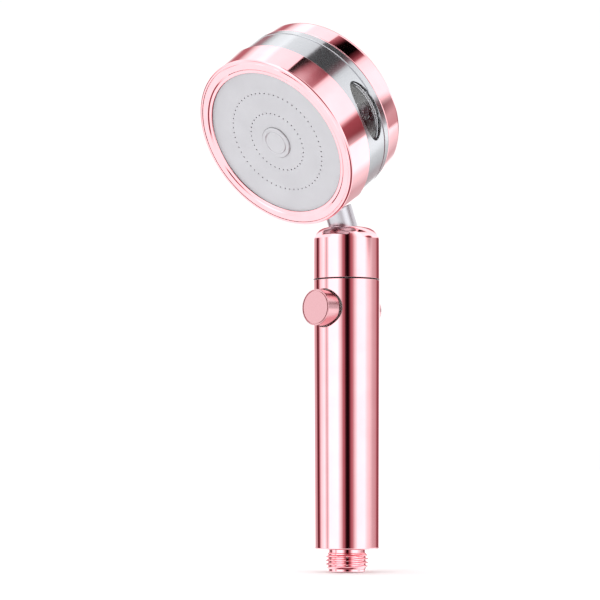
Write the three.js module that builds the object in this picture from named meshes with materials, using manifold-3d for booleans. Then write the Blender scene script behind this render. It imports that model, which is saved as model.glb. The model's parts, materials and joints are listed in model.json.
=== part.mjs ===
// Handheld shower head with a push-through stop valve, a swivelling neck and a turbine that shows
// through two side windows.
// Millimetres. +Z runs up the handle from the hose thread, -Y is the side that the spray face looks to.
// The origin is the middle of the hose connector's lower end.
import * as THREE from 'three';
import { mergeVertices } from 'three/addons/utils/BufferGeometryUtils.js';
import Module from 'manifold-3d';

const wasm = await Module();
wasm.setup();

// ---- clearances ----
const FIT = 0.3;               // between pieces that seat on, slide in or turn in each other
const RING_FIT = 0.12;         // between a soft ring and the groove or bore that it seals
const PAST = 1;                // how far a cutting tool runs past the face that it opens
const EDGE_BREAK = 0.5;        // bevel on the outer edges of the plated pieces

// ---- roundness: flats per turn ----
const FLATS_HEAD = 40;
const FLATS_HANDLE = 36;
const FLATS_SMALL = 20;
const FLATS_TINY = 14;
const FLATS_HOLE = 8;
const FLATS_SNAP_RING = 12;
const SIDES_OF_NUT = 6;
const STEPS_LARGE_CORNER = 6;
const STEPS_CORNER = 4;
const STEPS_SMALL_CORNER = 3;
const FLATS_WINDOW = 12;
const FLATS_SOFT_SECTION = 5;
const FLATS_PINHOLE = 4;

// ---- handle ----
const HANDLE_LENGTH = 130.6;
const HANDLE_FOOT_RADIUS = 15.7;
const HANDLE_TOP_RADIUS = 16.35;
const HANDLE_BORE = 13.6;
const HANDLE_FLOOR = 4;

// ---- hose connector, G 1/2 ----
const CONNECTOR_STANDS_OUT = 11;
const THREAD_MAJOR = 10.478;
const THREAD_MINOR = 9.316;
const THREAD_PITCH = 1.814;
const THREAD_TURNS = 4;
const THREAD_START = 1.6;
const THREAD_STEPS_PER_TURN = 4;
const THREAD_FLAT = 0.08;      // share of the pitch that is flat at the crest and at the root
const CONNECTOR_NECK = 8.9;
const CONNECTOR_LIP = 9;
const CONNECTOR_BORE = 5.6;
const CONNECTOR_MOUTH = 7.2;
const CONNECTOR_MOUTH_DEPTH = 9.5;
const CONNECTOR_SHOULDER = 11.2;
const CONNECTOR_SHOULDER_THICK = 1.6;
const CONNECTOR_NUT_CORNERS = 13.1;
const CONNECTOR_NUT_THICK = 4;
const CONNECTOR_SPIGOT = 8.2;
const CONNECTOR_SPIGOT_LENGTH = 9;
const SCREEN_THICK = 0.8;
const SCREEN_HOLE = 0.75;
const SCREEN_RINGS = [
  { count: 12, radius: 5 },
  { count: 6, radius: 2.6 },
];
const REGULATOR_THICK = 2.4;
const REGULATOR_HOLE = 2.2;

// ---- water tube ----
const TUBE_WALL = 1.8;
const TUBE_SOCKET_DEPTH = 5;

// ---- stop valve ----
const VALVE_CENTRE = 116.4;    // above the handle's foot
const BLOCK_HEIGHT = 24;
const STOP_RADIUS = 8.8;
const STOP_HOLE = STOP_RADIUS + 0.7;
const STOP_PROUD = 6;          // how far the stop button stands out while the water runs
const STOP_DEPTH = 7.4;
const STOP_EDGE = 0.9;
const RETURN_RADIUS = 7.2;
const RETURN_HOLE = RETURN_RADIUS + 0.6;
const RETURN_PROUD = 1.6;
const RETURN_DEPTH = 4.9;
const TRAVEL = 3.8;
const SPOOL_RADIUS = 5;
const SPOOL_WAIST = 3;
const SPOOL_WAIST_HALF = 2.6;
const SPOOL_STUD = 2.6;
const SPOOL_STUD_LENGTH = 3;
const SPOOL_RING_PLACES = [-8.4, -4.6, 4.6];
const PORT_RADIUS = 2.6;
const PORT_OFFSET = 2.2;

// ---- swivel ----
const SPIGOT_RADIUS = 9;
const SPIGOT_BORE = 5;
const SPIGOT_FLANGE_THICK = 3.4;
const SPIGOT_TAIL = 7;
const SPIGOT_TAIL_LENGTH = 4;
const SPIGOT_RISE = 9.4;       // above the seam
const SWIVEL_RING_RISE = 6.6;
const SNAP_RISE = 3.6;
const SNAP_WIDTH = 1.4;
const SNAP_DEPTH = 1.1;        // into each of the two pieces that the snap ring ties together
const SNAP_OPENING = Math.PI / 9;
const WASHER_THICK = 1;

// ---- collar and neck ----
const COLLAR_HEIGHT = 25.5;
const COLLAR_RADIUS = 16.3;
const COLLAR_CORNER = 6;
const COLLAR_WALL = 2.2;
const COLLAR_ROOF = 2.6;
const NECK_LEAN = THREE.MathUtils.degToRad(23.5);
const NECK_RADIUS = 6.9;
const NECK_BORE = 3.8;
const NECK_CROSSING = NECK_RADIUS / 2 + 1.65;   // how far below the collar's top the two axes cross
const NECK_SEAT = 6.2;         // how far the pipe goes on below that crossing
const NECK_REACH = 18.7;       // from that crossing up to the turbine ring's skin
const NECK_FOOT_RING = -4.4;   // places along the pipe, up from the crossing
const NECK_SNAP = -1.9;
const NECK_SPOTFACE = 1.9;     // depth of the flat that the pipe's shoulder pulls up against
const NECK_TIP_RADIUS = NECK_RADIUS - 0.7;
const NECK_TIP_RING = 2.6;     // above the spot face
const NECK_BOSS_RADIUS = NECK_RADIUS + 2.5;
const NECK_BOSS_ROOT = 3;      // the boss's two ends, above the spot face
const NECK_BOSS_RISE = 6.8;
const NECK_NUT_CORNERS = NECK_TIP_RADIUS + 2.8;
const NECK_NUT_THICK = 3;
const NECK_TIP_OUT = 1.2;      // the pipe stands this far out of its nut
const NECK_PASSAGE = 4.2;

// ---- head ----
const FACE_TILT = THREE.MathUtils.degToRad(34.3);   // how far the spray face looks down
const RING_FRONT = 14;   // depths are taken back from the bezel's face
const NECK_DEPTH = RING_FRONT + NECK_RADIUS + 1.1;
const RING_REAR = NECK_DEPTH + NECK_RADIUS + 3;
const HEAD_THICK = RING_REAR + 12;
const RING_RADIUS = 44.3;
const RING_BORE = RING_RADIUS - 6.3;
const RING_SKIRT_OUT = RING_RADIUS - 2.8;
const RING_SKIRT_IN = RING_RADIUS - 5.3;
const RING_GROOVE_AT = RING_REAR - 4.3;
const RING_GROOVE_WIDE = 0.8;
const RING_GROOVE_DEEP = 0.7;
const RING_REAR_SKIRT = 5;
const BEZEL_BACK_RADIUS = RING_RADIUS + 0.75;
const BEZEL_FRONT_RADIUS = RING_RADIUS - 0.1;
const BEZEL_ROUND = 1;
const BEZEL_OPENING = RING_RADIUS - 7.1;
const BEZEL_LIP = 1.9;
const BEZEL_INSIDE = RING_RADIUS - 2.3;
const PLATE_THICK = 0.8;
const GASKET_THICK = 1.4;
const GASKET_WIDE = 3;
const DIFFUSER_THICK = 2.2;
const DIFFUSER_HOLES = 16;
const DIFFUSER_HOLE = 2;
const DIFFUSER_HOLE_CIRCLE = 28;
const SPRAY_HOLE = 0.4;
const SPRAY_RINGS = [
  { count: 60, radius: 25.8 },
  { count: 38, radius: 15.2 },
];
const PLATE_BOSS = 8;
const PLATE_BOSS_RISE = 0.9;
const PLATE_BOSS_STUD = 2.4;
const PLATE_BOSS_FLANGE = 3.8;
const PLATE_BOSS_FLANGE_THICK = 1.1;
const REAR_EDGE_RADIUS = RING_RADIUS - 1;
const REAR_FRONT_RADIUS = RING_RADIUS - 0.25;
const REAR_ROUND = 3.2;
const REAR_WALL = 2.2;
const DIVIDER_THICK = 2.4;
const DIVIDER_RIBS = 6;
const DIVIDER_RIB_WIDE = 1.6;
const DIVIDER_RIB_HIGH = 3;
const DIVIDER_HUB = 6;

// ---- turbine ----
const AXLE_RADIUS = 1.2;
const BUSH_RADIUS = 2.9;
const BUSH_LENGTH = 3.6;
const BUSH_OUT = RING_RADIUS - 3.7;   // where a bush ends, measured from the middle of the ring
const BUSH_BOSS_WALL = 1.1;
const AXLE_INTO_BUSH = 2.6;
const IMPELLER_RADIUS = 9.4;
const IMPELLER_HUB = 3.8;
const IMPELLER_WIDE = 6;
const IMPELLER_BLADES = 8;
const BLADE_THICK = 1.1;
const BLADE_BITE = 0.4;        // how far a blade is rooted in its hub
const AXLE_RISE = 1;           // above the middle of the face
const AXLE_DEPTH = NECK_DEPTH + 0.2;
const IMPELLER_OFF_BUSH = 0.6;
const WINDOW_LONG = 31;
const WINDOW_WIDE = 12.4;
const WINDOW_DEEP = 1.3;       // the lens lies this far below the ring's skin
const WINDOW_LEDGE = 1.2;      // how far the ledge under the lens reaches in
const LENS_THICK = 2;

// ---- soft rings ----
const GROOVE_DEPTH = 1.5;
const GROOVE_WIDTH = 2.2;
const SOFT_SECTION = (GROOVE_DEPTH + FIT) / 2 - RING_FIT;

// ---- heights and depths that follow ----
const HANDLE_FOOT_Z = CONNECTOR_STANDS_OUT;
const SEAM_Z = HANDLE_FOOT_Z + HANDLE_LENGTH;
const VALVE_Z = HANDLE_FOOT_Z + VALVE_CENTRE;
const BLOCK_RADIUS = HANDLE_BORE - FIT;
const BLOCK_FOOT_Z = VALVE_Z - BLOCK_HEIGHT / 2 - FIT;
const NUT_FOOT_Z = HANDLE_FOOT_Z + HANDLE_FLOOR + FIT;
const NUT_TOP_Z = NUT_FOOT_Z + CONNECTOR_NUT_THICK;
const CONNECTOR_TOP_Z = NUT_TOP_Z + CONNECTOR_SPIGOT_LENGTH;
const CONNECTOR_RING_Z = CONNECTOR_TOP_Z - CONNECTOR_SPIGOT_LENGTH / 2;
const TUBE_INNER = CONNECTOR_SPIGOT + FIT;
const TUBE_OUTER = TUBE_INNER + TUBE_WALL;
const TUBE_FOOT_Z = NUT_TOP_Z + FIT;
const TUBE_TOP_Z = BLOCK_FOOT_Z + TUBE_SOCKET_DEPTH - FIT;
const SPIGOT_FLANGE_Z = SEAM_Z - FIT - SPIGOT_FLANGE_THICK;
const BLOCK_TOP_Z = SPIGOT_FLANGE_Z - FIT;
const SPIGOT_TOP_Z = SEAM_Z + SPIGOT_RISE;
const COLLAR_FOOT_Z = SEAM_Z + FIT;
const COLLAR_TOP_Z = COLLAR_FOOT_Z + COLLAR_HEIGHT;
const SOCKET_RADIUS = COLLAR_RADIUS - COLLAR_WALL - FIT;
const SOCKET_FOOT_Z = COLLAR_FOOT_Z + WASHER_THICK + FIT;
const SOCKET_TOP_Z = COLLAR_TOP_Z - COLLAR_ROOF - FIT;
const SOCKET_BORE = SPIGOT_RADIUS + FIT;
const SOCKET_CHAMBER_Z = SPIGOT_TOP_Z + FIT;
const NECK_CROSSING_Z = COLLAR_TOP_Z - NECK_CROSSING;
const NECK_SHOULDER = NECK_REACH + NECK_SPOTFACE;
const HANDLE_RADIUS_AT_VALVE = THREE.MathUtils.mapLinear(
  VALVE_CENTRE, 0, HANDLE_LENGTH, HANDLE_FOOT_RADIUS, HANDLE_TOP_RADIUS);
const SKIRT_FRONT = BEZEL_LIP + FIT + PLATE_THICK + FIT + GASKET_THICK + FIT;
const DIFFUSER_SEAT = SKIRT_FRONT + FIT + DIFFUSER_THICK;
const RING_BACK_END = RING_REAR + RING_REAR_SKIRT;
const DIVIDER_SEAT = RING_BACK_END - DIVIDER_THICK - FIT;

// ---- frames ----

// The neck's frame: its origin is where the pipe's axis crosses the handle's, its +Z is along the pipe.
const neckFrame = new THREE.Matrix4().makeRotationX(NECK_LEAN).setPosition(0, 0, NECK_CROSSING_Z);

// The head's frame: its origin is the middle of the bezel's face, its +Z looks out of the face and
// its +Y points up in the face's plane. The turbine ring's lowest point sits on the end of the neck.
function makeHeadFrame() {
  const frame = new THREE.Matrix4().makeRotationX(Math.PI / 2 + FACE_TILT);
  const ringBottom = new THREE.Vector3(0, -RING_RADIUS, -NECK_DEPTH).applyMatrix4(frame);
  const neckEnd = new THREE.Vector3(0, 0, NECK_REACH).applyMatrix4(neckFrame);
  return frame.setPosition(neckEnd.sub(ringBottom));
}
const headFrame = makeHeadFrame();
const neckInHead = headFrame.clone().invert().multiply(neckFrame);

// ---- shapes ----

// Turns a closed outline of [radius, height] points about Z. Outlines run anticlockwise.
function revolve(outline, flats = FLATS_SMALL) {
  const points = outline.map(([radius, height]) => new THREE.Vector2(radius, height));
  if (outline[0][0] > 0) points.push(points[0].clone());
  return new THREE.LatheGeometry(points, flats).rotateX(Math.PI / 2);
}

function tube(outer, inner, low, high, flats = FLATS_SMALL) {
  return revolve([[inner, low], [outer, low], [outer, high], [inner, high]], flats);
}

function rod(radius, low, high, flats = FLATS_SMALL) {
  return new THREE.CylinderGeometry(radius, radius, high - low, flats)
    .rotateX(Math.PI / 2)
    .translate(0, 0, (low + high) / 2);
}

function block(width, depth, height) {
  return new THREE.BoxGeometry(width, depth, height);
}

// Points round a quarter turn or less of an outline's corner, from one angle to another.
function corner(centreRadius, centreHeight, radius, from, to, steps = STEPS_CORNER) {
  const points = [];
  for (let step = 0; step <= steps; step += 1) {
    const angle = THREE.MathUtils.lerp(from, to, step / steps);
    points.push([centreRadius + radius * Math.cos(angle), centreHeight + radius * Math.sin(angle)]);
  }
  return points;
}

function circle(radius, flats, x = 0, y = 0) {
  const points = [];
  for (let step = 0; step < flats; step += 1) {
    const angle = (2 * Math.PI * step) / flats;
    points.push(new THREE.Vector2(x + radius * Math.cos(angle), y + radius * Math.sin(angle)));
  }
  return points;
}

// A flat disc with round holes, from one height up by its thickness.
function holedDisc(radius, flats, holes, low, thickness) {
  const shape = new THREE.Shape(circle(radius, flats));
  for (const hole of holes) {
    shape.holes.push(new THREE.Path(circle(hole.radius, hole.flats, hole.x, hole.y)));
  }
  return new THREE.ExtrudeGeometry(shape, { depth: thickness, bevelEnabled: false })
    .translate(0, 0, low);
}

function holeCircle(count, circleRadius, radius, flats) {
  return Array.from({ length: count }, (_, place) => {
    const angle = (2 * Math.PI * place) / count;
    return { radius, flats, x: circleRadius * Math.cos(angle), y: circleRadius * Math.sin(angle) };
  });
}

function hexNut(corners, bore, low, thickness) {
  const shape = new THREE.Shape(circle(corners, SIDES_OF_NUT));
  shape.holes.push(new THREE.Path(circle(bore, FLATS_SMALL)));
  return new THREE.ExtrudeGeometry(shape, { depth: thickness, bevelEnabled: false })
    .translate(0, 0, low);
}

// An O-ring whose bore hugs a groove's floor.
function softRing(floor, height) {
  const section = corner(floor + RING_FIT + SOFT_SECTION, height, SOFT_SECTION,
    0, 2 * Math.PI, FLATS_SOFT_SECTION);
  section.pop();
  return revolve(section);
}

// The groove that an O-ring sits in, on the outside of a shaft.
function grooveCut(shaft, height) {
  return tube(shaft + PAST, shaft - GROOVE_DEPTH, height - GROOVE_WIDTH / 2, height + GROOVE_WIDTH / 2);
}

// A snap ring that reaches into a shaft's groove and into the bore round it, open at one side.
function snapRing(shaft, height) {
  const inner = shaft - SNAP_DEPTH + RING_FIT;
  const outer = shaft + FIT + SNAP_DEPTH - RING_FIT;
  const shape = new THREE.Shape();
  shape.absarc(0, 0, outer, SNAP_OPENING, 2 * Math.PI - SNAP_OPENING, false);
  shape.absarc(0, 0, inner, 2 * Math.PI - SNAP_OPENING, SNAP_OPENING, true);
  return new THREE.ExtrudeGeometry(shape, {
    depth: SNAP_WIDTH, bevelEnabled: false, curveSegments: FLATS_SNAP_RING,
  }).translate(0, 0, height - SNAP_WIDTH / 2);
}

function snapGroove(shaft, height) {
  const half = SNAP_WIDTH / 2 + RING_FIT;
  return tube(shaft + FIT + SNAP_DEPTH + RING_FIT, shaft - SNAP_DEPTH, height - half, height + half);
}

// ---- booleans ----

function solid(geometry) {
  const bare = geometry.clone();
  bare.deleteAttribute('normal');
  bare.deleteAttribute('uv');
  const merged = mergeVertices(bare);
  const corners = merged.index.array;
  const kept = [];
  for (let first = 0; first < corners.length; first += 3) {
    const [a, b, c] = corners.slice(first, first + 3);
    if (a !== b && b !== c && c !== a) kept.push(a, b, c);
  }
  return new wasm.Manifold(new wasm.Mesh({
    numProp: 3,
    vertProperties: merged.attributes.position.array,
    triVerts: Uint32Array.from(kept),
  }));
}

function shapeOf(made) {
  const mesh = made.getMesh();
  const geometry = new THREE.BufferGeometry();
  geometry.setAttribute('position', new THREE.BufferAttribute(mesh.vertProperties, 3));
  geometry.setIndex(new THREE.BufferAttribute(mesh.triVerts, 1));
  return geometry;
}

function cut(body, tools) {
  return shapeOf(tools.reduce((left, tool) => left.subtract(solid(tool)), solid(body)));
}

function join(body, additions) {
  return shapeOf(additions.reduce((whole, extra) => whole.add(solid(extra)), solid(body)));
}

// ---- materials ----

function finish(color, roughness, metalness) {
  return new THREE.MeshStandardMaterial({ color, roughness, metalness });
}
const roseGold = finish('#e79aa4', 0.12, 1);
const satinSteel = finish('#dcdbe3', 0.4, 0.8);
const satinChrome = finish('#c9c8cf', 0.3, 0.9);
const silverPlate = finish('#c4c4ca', 0.25, 1);
const clearPlastic = finish('#e8eef2', 0.1, 0);
const whitePlastic = finish('#efefef', 0.5, 0);
const darkPlastic = finish('#3b3b40', 0.5, 0);
const blackRubber = finish('#1f1f22', 0.8, 0);
const siliconeGrey = finish('#b9bcc2', 0.7, 0);
const brass = finish('#c8a659', 0.35, 0.9);
const stainless = finish('#b8bcc0', 0.3, 0.9);

const shower = new THREE.Group();
const headGroup = new THREE.Group();
const neckGroup = new THREE.Group();
headFrame.decompose(headGroup.position, headGroup.quaternion, headGroup.scale);
neckFrame.decompose(neckGroup.position, neckGroup.quaternion, neckGroup.scale);
shower.add(headGroup, neckGroup);

function place(name, geometry, material, group = shower) {
  const mesh = new THREE.Mesh(geometry, material);
  mesh.name = name;
  group.add(mesh);
}

// ---- handle ----

function handleShell() {
  const foot = HANDLE_FOOT_Z;
  const recess = foot + CONNECTOR_SHOULDER_THICK + FIT;
  const outline = [
    [CONNECTOR_NECK + FIT, recess],
    [CONNECTOR_SHOULDER + FIT, recess],
    [CONNECTOR_SHOULDER + FIT, foot],
    [HANDLE_FOOT_RADIUS - EDGE_BREAK, foot],
    [HANDLE_FOOT_RADIUS, foot + EDGE_BREAK],
    [HANDLE_TOP_RADIUS, SEAM_Z - EDGE_BREAK],
    [HANDLE_TOP_RADIUS - EDGE_BREAK, SEAM_Z],
    [HANDLE_BORE, SEAM_Z],
    [HANDLE_BORE, foot + HANDLE_FLOOR],
    [CONNECTOR_NECK + FIT, foot + HANDLE_FLOOR],
  ];
  const reach = HANDLE_TOP_RADIUS + PAST;
  const stopHole = rod(STOP_HOLE, 0, reach).rotateX(Math.PI / 2).translate(0, 0, VALVE_Z);
  const returnHole = rod(RETURN_HOLE, 0, reach).rotateX(-Math.PI / 2).translate(0, 0, VALVE_Z);
  return cut(revolve(outline, FLATS_HANDLE), [stopHole, returnHole]);
}

// The thread's height above its root at a point that is a share of the way from one crest to the next.
function threadHeight(share) {
  const slope = 0.5 - Math.abs(share - 0.5);
  return THREE.MathUtils.clamp((slope - THREAD_FLAT) / (0.5 - 2 * THREAD_FLAT), 0, 1);
}

// Winds a right-hand thread round the connector by pushing its outer wall out along a helix.
function windThread(geometry) {
  const end = THREAD_START + THREAD_PITCH * THREAD_TURNS;
  const points = geometry.attributes.position;
  for (let place = 0; place < points.count; place += 1) {
    const x = points.getX(place);
    const y = points.getY(place);
    const z = points.getZ(place);
    const radius = Math.hypot(x, y);
    if (Math.abs(radius - THREAD_MINOR) < RING_FIT && z > THREAD_START && z < end) {
      const turn = Math.atan2(y, x) / (2 * Math.PI);
      const share = THREE.MathUtils.euclideanModulo((z - THREAD_START) / THREAD_PITCH - turn, 1);
      const fade = Math.sqrt(Math.min(1, (z - THREAD_START) / THREAD_PITCH, (end - z) / THREAD_PITCH));
      const grown = THREAD_MINOR + (THREAD_MAJOR - THREAD_MINOR) * threadHeight(share) * fade;
      points.setXY(place, (x * grown) / radius, (y * grown) / radius);
    }
  }
  return geometry;
}

function hoseConnector() {
  const outline = [[CONNECTOR_MOUTH, 0], [CONNECTOR_LIP, 0], [CONNECTOR_LIP, THREAD_START - FIT]];
  const steps = THREAD_TURNS * THREAD_STEPS_PER_TURN;
  for (let step = 0; step <= steps; step += 1) {
    outline.push([THREAD_MINOR, THREAD_START + (THREAD_PITCH * step) / THREAD_STEPS_PER_TURN]);
  }
  const threadEnd = THREAD_START + THREAD_PITCH * THREAD_TURNS;
  outline.push(
    [CONNECTOR_NECK, threadEnd + FIT],
    [CONNECTOR_NECK, HANDLE_FOOT_Z],
    [CONNECTOR_SHOULDER, HANDLE_FOOT_Z],
    [CONNECTOR_SHOULDER, HANDLE_FOOT_Z + CONNECTOR_SHOULDER_THICK],
    [CONNECTOR_NECK, HANDLE_FOOT_Z + CONNECTOR_SHOULDER_THICK],
    [CONNECTOR_NECK, NUT_TOP_Z],
    [CONNECTOR_SPIGOT, NUT_TOP_Z],
    [CONNECTOR_SPIGOT, CONNECTOR_TOP_Z],
    [CONNECTOR_BORE, CONNECTOR_TOP_Z],
    [CONNECTOR_BORE, CONNECTOR_MOUTH_DEPTH],
    [CONNECTOR_MOUTH, CONNECTOR_MOUTH_DEPTH],
  );
  return cut(windThread(revolve(outline)), [grooveCut(CONNECTOR_SPIGOT, CONNECTOR_RING_Z)]);
}

function connectorNut() {
  return hexNut(CONNECTOR_NUT_CORNERS, CONNECTOR_NECK + FIT, NUT_FOOT_Z, CONNECTOR_NUT_THICK);
}

function flowRegulator() {
  const top = CONNECTOR_MOUTH_DEPTH - FIT;
  return tube(CONNECTOR_MOUTH - FIT, REGULATOR_HOLE, top - REGULATOR_THICK, top);
}

function inletScreen() {
  const top = CONNECTOR_MOUTH_DEPTH - FIT - REGULATOR_THICK - FIT;
  const holes = SCREEN_RINGS.flatMap(({ count, radius }) => (
    holeCircle(count, radius, SCREEN_HOLE, FLATS_PINHOLE)));
  return holedDisc(CONNECTOR_MOUTH - FIT, FLATS_SMALL, holes, top - SCREEN_THICK, SCREEN_THICK);
}

function waterTube() {
  return tube(TUBE_OUTER, TUBE_INNER, TUBE_FOOT_Z, TUBE_TOP_Z);
}

// The valve block carries the cross bore of the stop valve, the water tube's socket below it and
// the swivel spigot's socket above it. The ports are offset so that the spool's waist joins them.
function valveBlock() {
  const across = (radius, low, high) => rod(radius, low, high).rotateX(-Math.PI / 2).translate(0, 0, VALVE_Z);
  const port = (y, low, high) => rod(PORT_RADIUS, low, high, FLATS_TINY).translate(0, y, 0);
  const edge = BLOCK_RADIUS + PAST;
  return cut(rod(BLOCK_RADIUS, BLOCK_FOOT_Z, BLOCK_TOP_Z, FLATS_HANDLE), [
    across(SPOOL_RADIUS + FIT, -edge, edge),
    across(STOP_RADIUS + FIT, -edge, STOP_SEAT_Y),
    across(RETURN_RADIUS + FIT, RETURN_SEAT_Y, edge),
    rod(TUBE_OUTER + FIT, BLOCK_FOOT_Z - PAST, BLOCK_FOOT_Z + TUBE_SOCKET_DEPTH),
    rod(SPIGOT_TAIL + FIT, BLOCK_TOP_Z - SPIGOT_TAIL_LENGTH, BLOCK_TOP_Z + PAST),
    port(-PORT_OFFSET, BLOCK_FOOT_Z, VALVE_Z),
    port(PORT_OFFSET, VALVE_Z, BLOCK_TOP_Z - FIT),
  ]);
}

// ---- stop valve: the stop button, spool and return button slide through the handle as one ----

const STOP_FACE_Y = -(HANDLE_RADIUS_AT_VALVE + STOP_PROUD);
const STOP_BACK_Y = STOP_FACE_Y + STOP_DEPTH;
const STOP_SEAT_Y = STOP_BACK_Y + TRAVEL + FIT;
const RETURN_FACE_Y = HANDLE_RADIUS_AT_VALVE + RETURN_PROUD;
const RETURN_FRONT_Y = RETURN_FACE_Y - RETURN_DEPTH;
const RETURN_SEAT_Y = RETURN_FRONT_Y - FIT;

// A piece of the stop valve is turned about the Y axis, so an outline's heights are its Y places.
function acrossHandle(geometry) {
  return geometry.rotateX(-Math.PI / 2).translate(0, 0, VALVE_Z);
}

function stopButton() {
  const stud = SPOOL_STUD + FIT;
  return acrossHandle(revolve([
    [0, STOP_FACE_Y],
    [STOP_RADIUS - STOP_EDGE, STOP_FACE_Y],
    ...corner(STOP_RADIUS - STOP_EDGE, STOP_FACE_Y + STOP_EDGE, STOP_EDGE,
      -Math.PI / 2, 0, STEPS_SMALL_CORNER).slice(1),
    [STOP_RADIUS, STOP_BACK_Y],
    [stud, STOP_BACK_Y],
    [stud, STOP_BACK_Y - SPOOL_STUD_LENGTH - FIT],
    [0, STOP_BACK_Y - SPOOL_STUD_LENGTH - FIT],
  ]));
}

function returnButton() {
  const stud = SPOOL_STUD + FIT;
  const studEnd = RETURN_FRONT_Y + SPOOL_STUD_LENGTH + FIT;
  return acrossHandle(revolve([
    [0, studEnd],
    [stud, studEnd],
    [stud, RETURN_FRONT_Y],
    [RETURN_RADIUS, RETURN_FRONT_Y],
    [RETURN_RADIUS, RETURN_FACE_Y - RETURN_PROUD / 2],
    [RETURN_RADIUS - RETURN_PROUD / 2, RETURN_FACE_Y],
    [0, RETURN_FACE_Y],
  ]));
}

function valveSpool() {
  const front = STOP_BACK_Y + FIT;
  const back = RETURN_FRONT_Y - FIT;
  const body = revolve([
    [0, STOP_BACK_Y - SPOOL_STUD_LENGTH],
    [SPOOL_STUD, STOP_BACK_Y - SPOOL_STUD_LENGTH],
    [SPOOL_STUD, front],
    [SPOOL_RADIUS, front],
    [SPOOL_RADIUS, -SPOOL_WAIST_HALF],
    [SPOOL_WAIST, -SPOOL_WAIST_HALF],
    [SPOOL_WAIST, SPOOL_WAIST_HALF],
    [SPOOL_RADIUS, SPOOL_WAIST_HALF],
    [SPOOL_RADIUS, back],
    [SPOOL_STUD, back],
    [SPOOL_STUD, RETURN_FRONT_Y + SPOOL_STUD_LENGTH],
    [0, RETURN_FRONT_Y + SPOOL_STUD_LENGTH],
  ]);
  return acrossHandle(cut(body, SPOOL_RING_PLACES.map((y) => grooveCut(SPOOL_RADIUS, y))));
}

// ---- swivel ----

function swivelSpigot() {
  const body = revolve([
    [SPIGOT_BORE, SPIGOT_FLANGE_Z - SPIGOT_TAIL_LENGTH + FIT],
    [SPIGOT_TAIL, SPIGOT_FLANGE_Z - SPIGOT_TAIL_LENGTH + FIT],
    [SPIGOT_TAIL, SPIGOT_FLANGE_Z],
    [BLOCK_RADIUS, SPIGOT_FLANGE_Z],
    [BLOCK_RADIUS, SPIGOT_FLANGE_Z + SPIGOT_FLANGE_THICK],
    [SPIGOT_RADIUS, SPIGOT_FLANGE_Z + SPIGOT_FLANGE_THICK],
    [SPIGOT_RADIUS, SPIGOT_TOP_Z - EDGE_BREAK],
    [SPIGOT_RADIUS - EDGE_BREAK, SPIGOT_TOP_Z],
    [SPIGOT_BORE, SPIGOT_TOP_Z],
  ]);
  return cut(body, [
    grooveCut(SPIGOT_RADIUS, SEAM_Z + SWIVEL_RING_RISE),
    snapGroove(SPIGOT_RADIUS, SEAM_Z + SNAP_RISE),
  ]);
}

function swivelWasher() {
  return tube(SOCKET_RADIUS, SPIGOT_RADIUS + FIT, COLLAR_FOOT_Z, COLLAR_FOOT_Z + WASHER_THICK);
}

// The socket turns on the spigot and holds the foot of the neck. A passage joins the two bores.
function swivelSocket() {
  const chamfer = COLLAR_CORNER - COLLAR_WALL;
  const body = revolve([
    [0, SOCKET_CHAMBER_Z],
    [SOCKET_BORE, SOCKET_CHAMBER_Z],
    [SOCKET_BORE, SOCKET_FOOT_Z],
    [SOCKET_RADIUS, SOCKET_FOOT_Z],
    [SOCKET_RADIUS, SOCKET_TOP_Z - chamfer],
    [SOCKET_RADIUS - chamfer, SOCKET_TOP_Z],
    [0, SOCKET_TOP_Z],
  ], FLATS_HANDLE);
  const seat = new THREE.Vector3(0, 0, -NECK_SEAT).applyMatrix4(neckFrame);
  return cut(body, [
    snapGroove(SPIGOT_RADIUS, SEAM_Z + SNAP_RISE),
    rod(NECK_PASSAGE, SOCKET_CHAMBER_Z - PAST, seat.z, FLATS_SMALL).translate(0, seat.y, 0),
    rod(NECK_RADIUS + FIT, -NECK_SEAT - FIT, COLLAR_HEIGHT).applyMatrix4(neckFrame),
    snapGroove(NECK_RADIUS, NECK_SNAP).applyMatrix4(neckFrame),
  ]);
}

function swivelCollar() {
  const wall = COLLAR_RADIUS - COLLAR_WALL;
  const roof = COLLAR_TOP_Z - COLLAR_ROOF;
  const inside = COLLAR_CORNER - COLLAR_WALL;
  const body = revolve([
    [0, roof],
    [wall - inside, roof],
    [wall, roof - inside],
    [wall, COLLAR_FOOT_Z],
    [COLLAR_RADIUS - EDGE_BREAK, COLLAR_FOOT_Z],
    [COLLAR_RADIUS, COLLAR_FOOT_Z + EDGE_BREAK],
    ...corner(COLLAR_RADIUS - COLLAR_CORNER, COLLAR_TOP_Z - COLLAR_CORNER, COLLAR_CORNER,
      0, Math.PI / 2, STEPS_LARGE_CORNER),
    [0, COLLAR_TOP_Z],
  ], FLATS_HANDLE);
  return cut(body, [rod(NECK_RADIUS + FIT, -NECK_SEAT, COLLAR_HEIGHT).applyMatrix4(neckFrame)]);
}

// ---- neck, in its own frame ----

const NECK_BOSS_TOP = NECK_SHOULDER + NECK_BOSS_RISE;
const NECK_NUT_FOOT = NECK_BOSS_TOP + FIT;
const NECK_TIP = NECK_NUT_FOOT + NECK_NUT_THICK + NECK_TIP_OUT;

function neckPipe() {
  const shoulder = NECK_SHOULDER - FIT;
  const body = revolve([
    [NECK_BORE, -NECK_SEAT],
    [NECK_RADIUS, -NECK_SEAT],
    [NECK_RADIUS, shoulder],
    [NECK_TIP_RADIUS, shoulder],
    [NECK_TIP_RADIUS, NECK_TIP],
    [NECK_BORE, NECK_TIP],
  ]);
  return cut(body, [
    grooveCut(NECK_RADIUS, NECK_FOOT_RING),
    snapGroove(NECK_RADIUS, NECK_SNAP),
    grooveCut(NECK_TIP_RADIUS, NECK_SHOULDER + NECK_TIP_RING),
  ]);
}

function neckNut() {
  return hexNut(NECK_NUT_CORNERS, NECK_TIP_RADIUS + FIT, NECK_NUT_FOOT, NECK_NUT_THICK);
}

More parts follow.
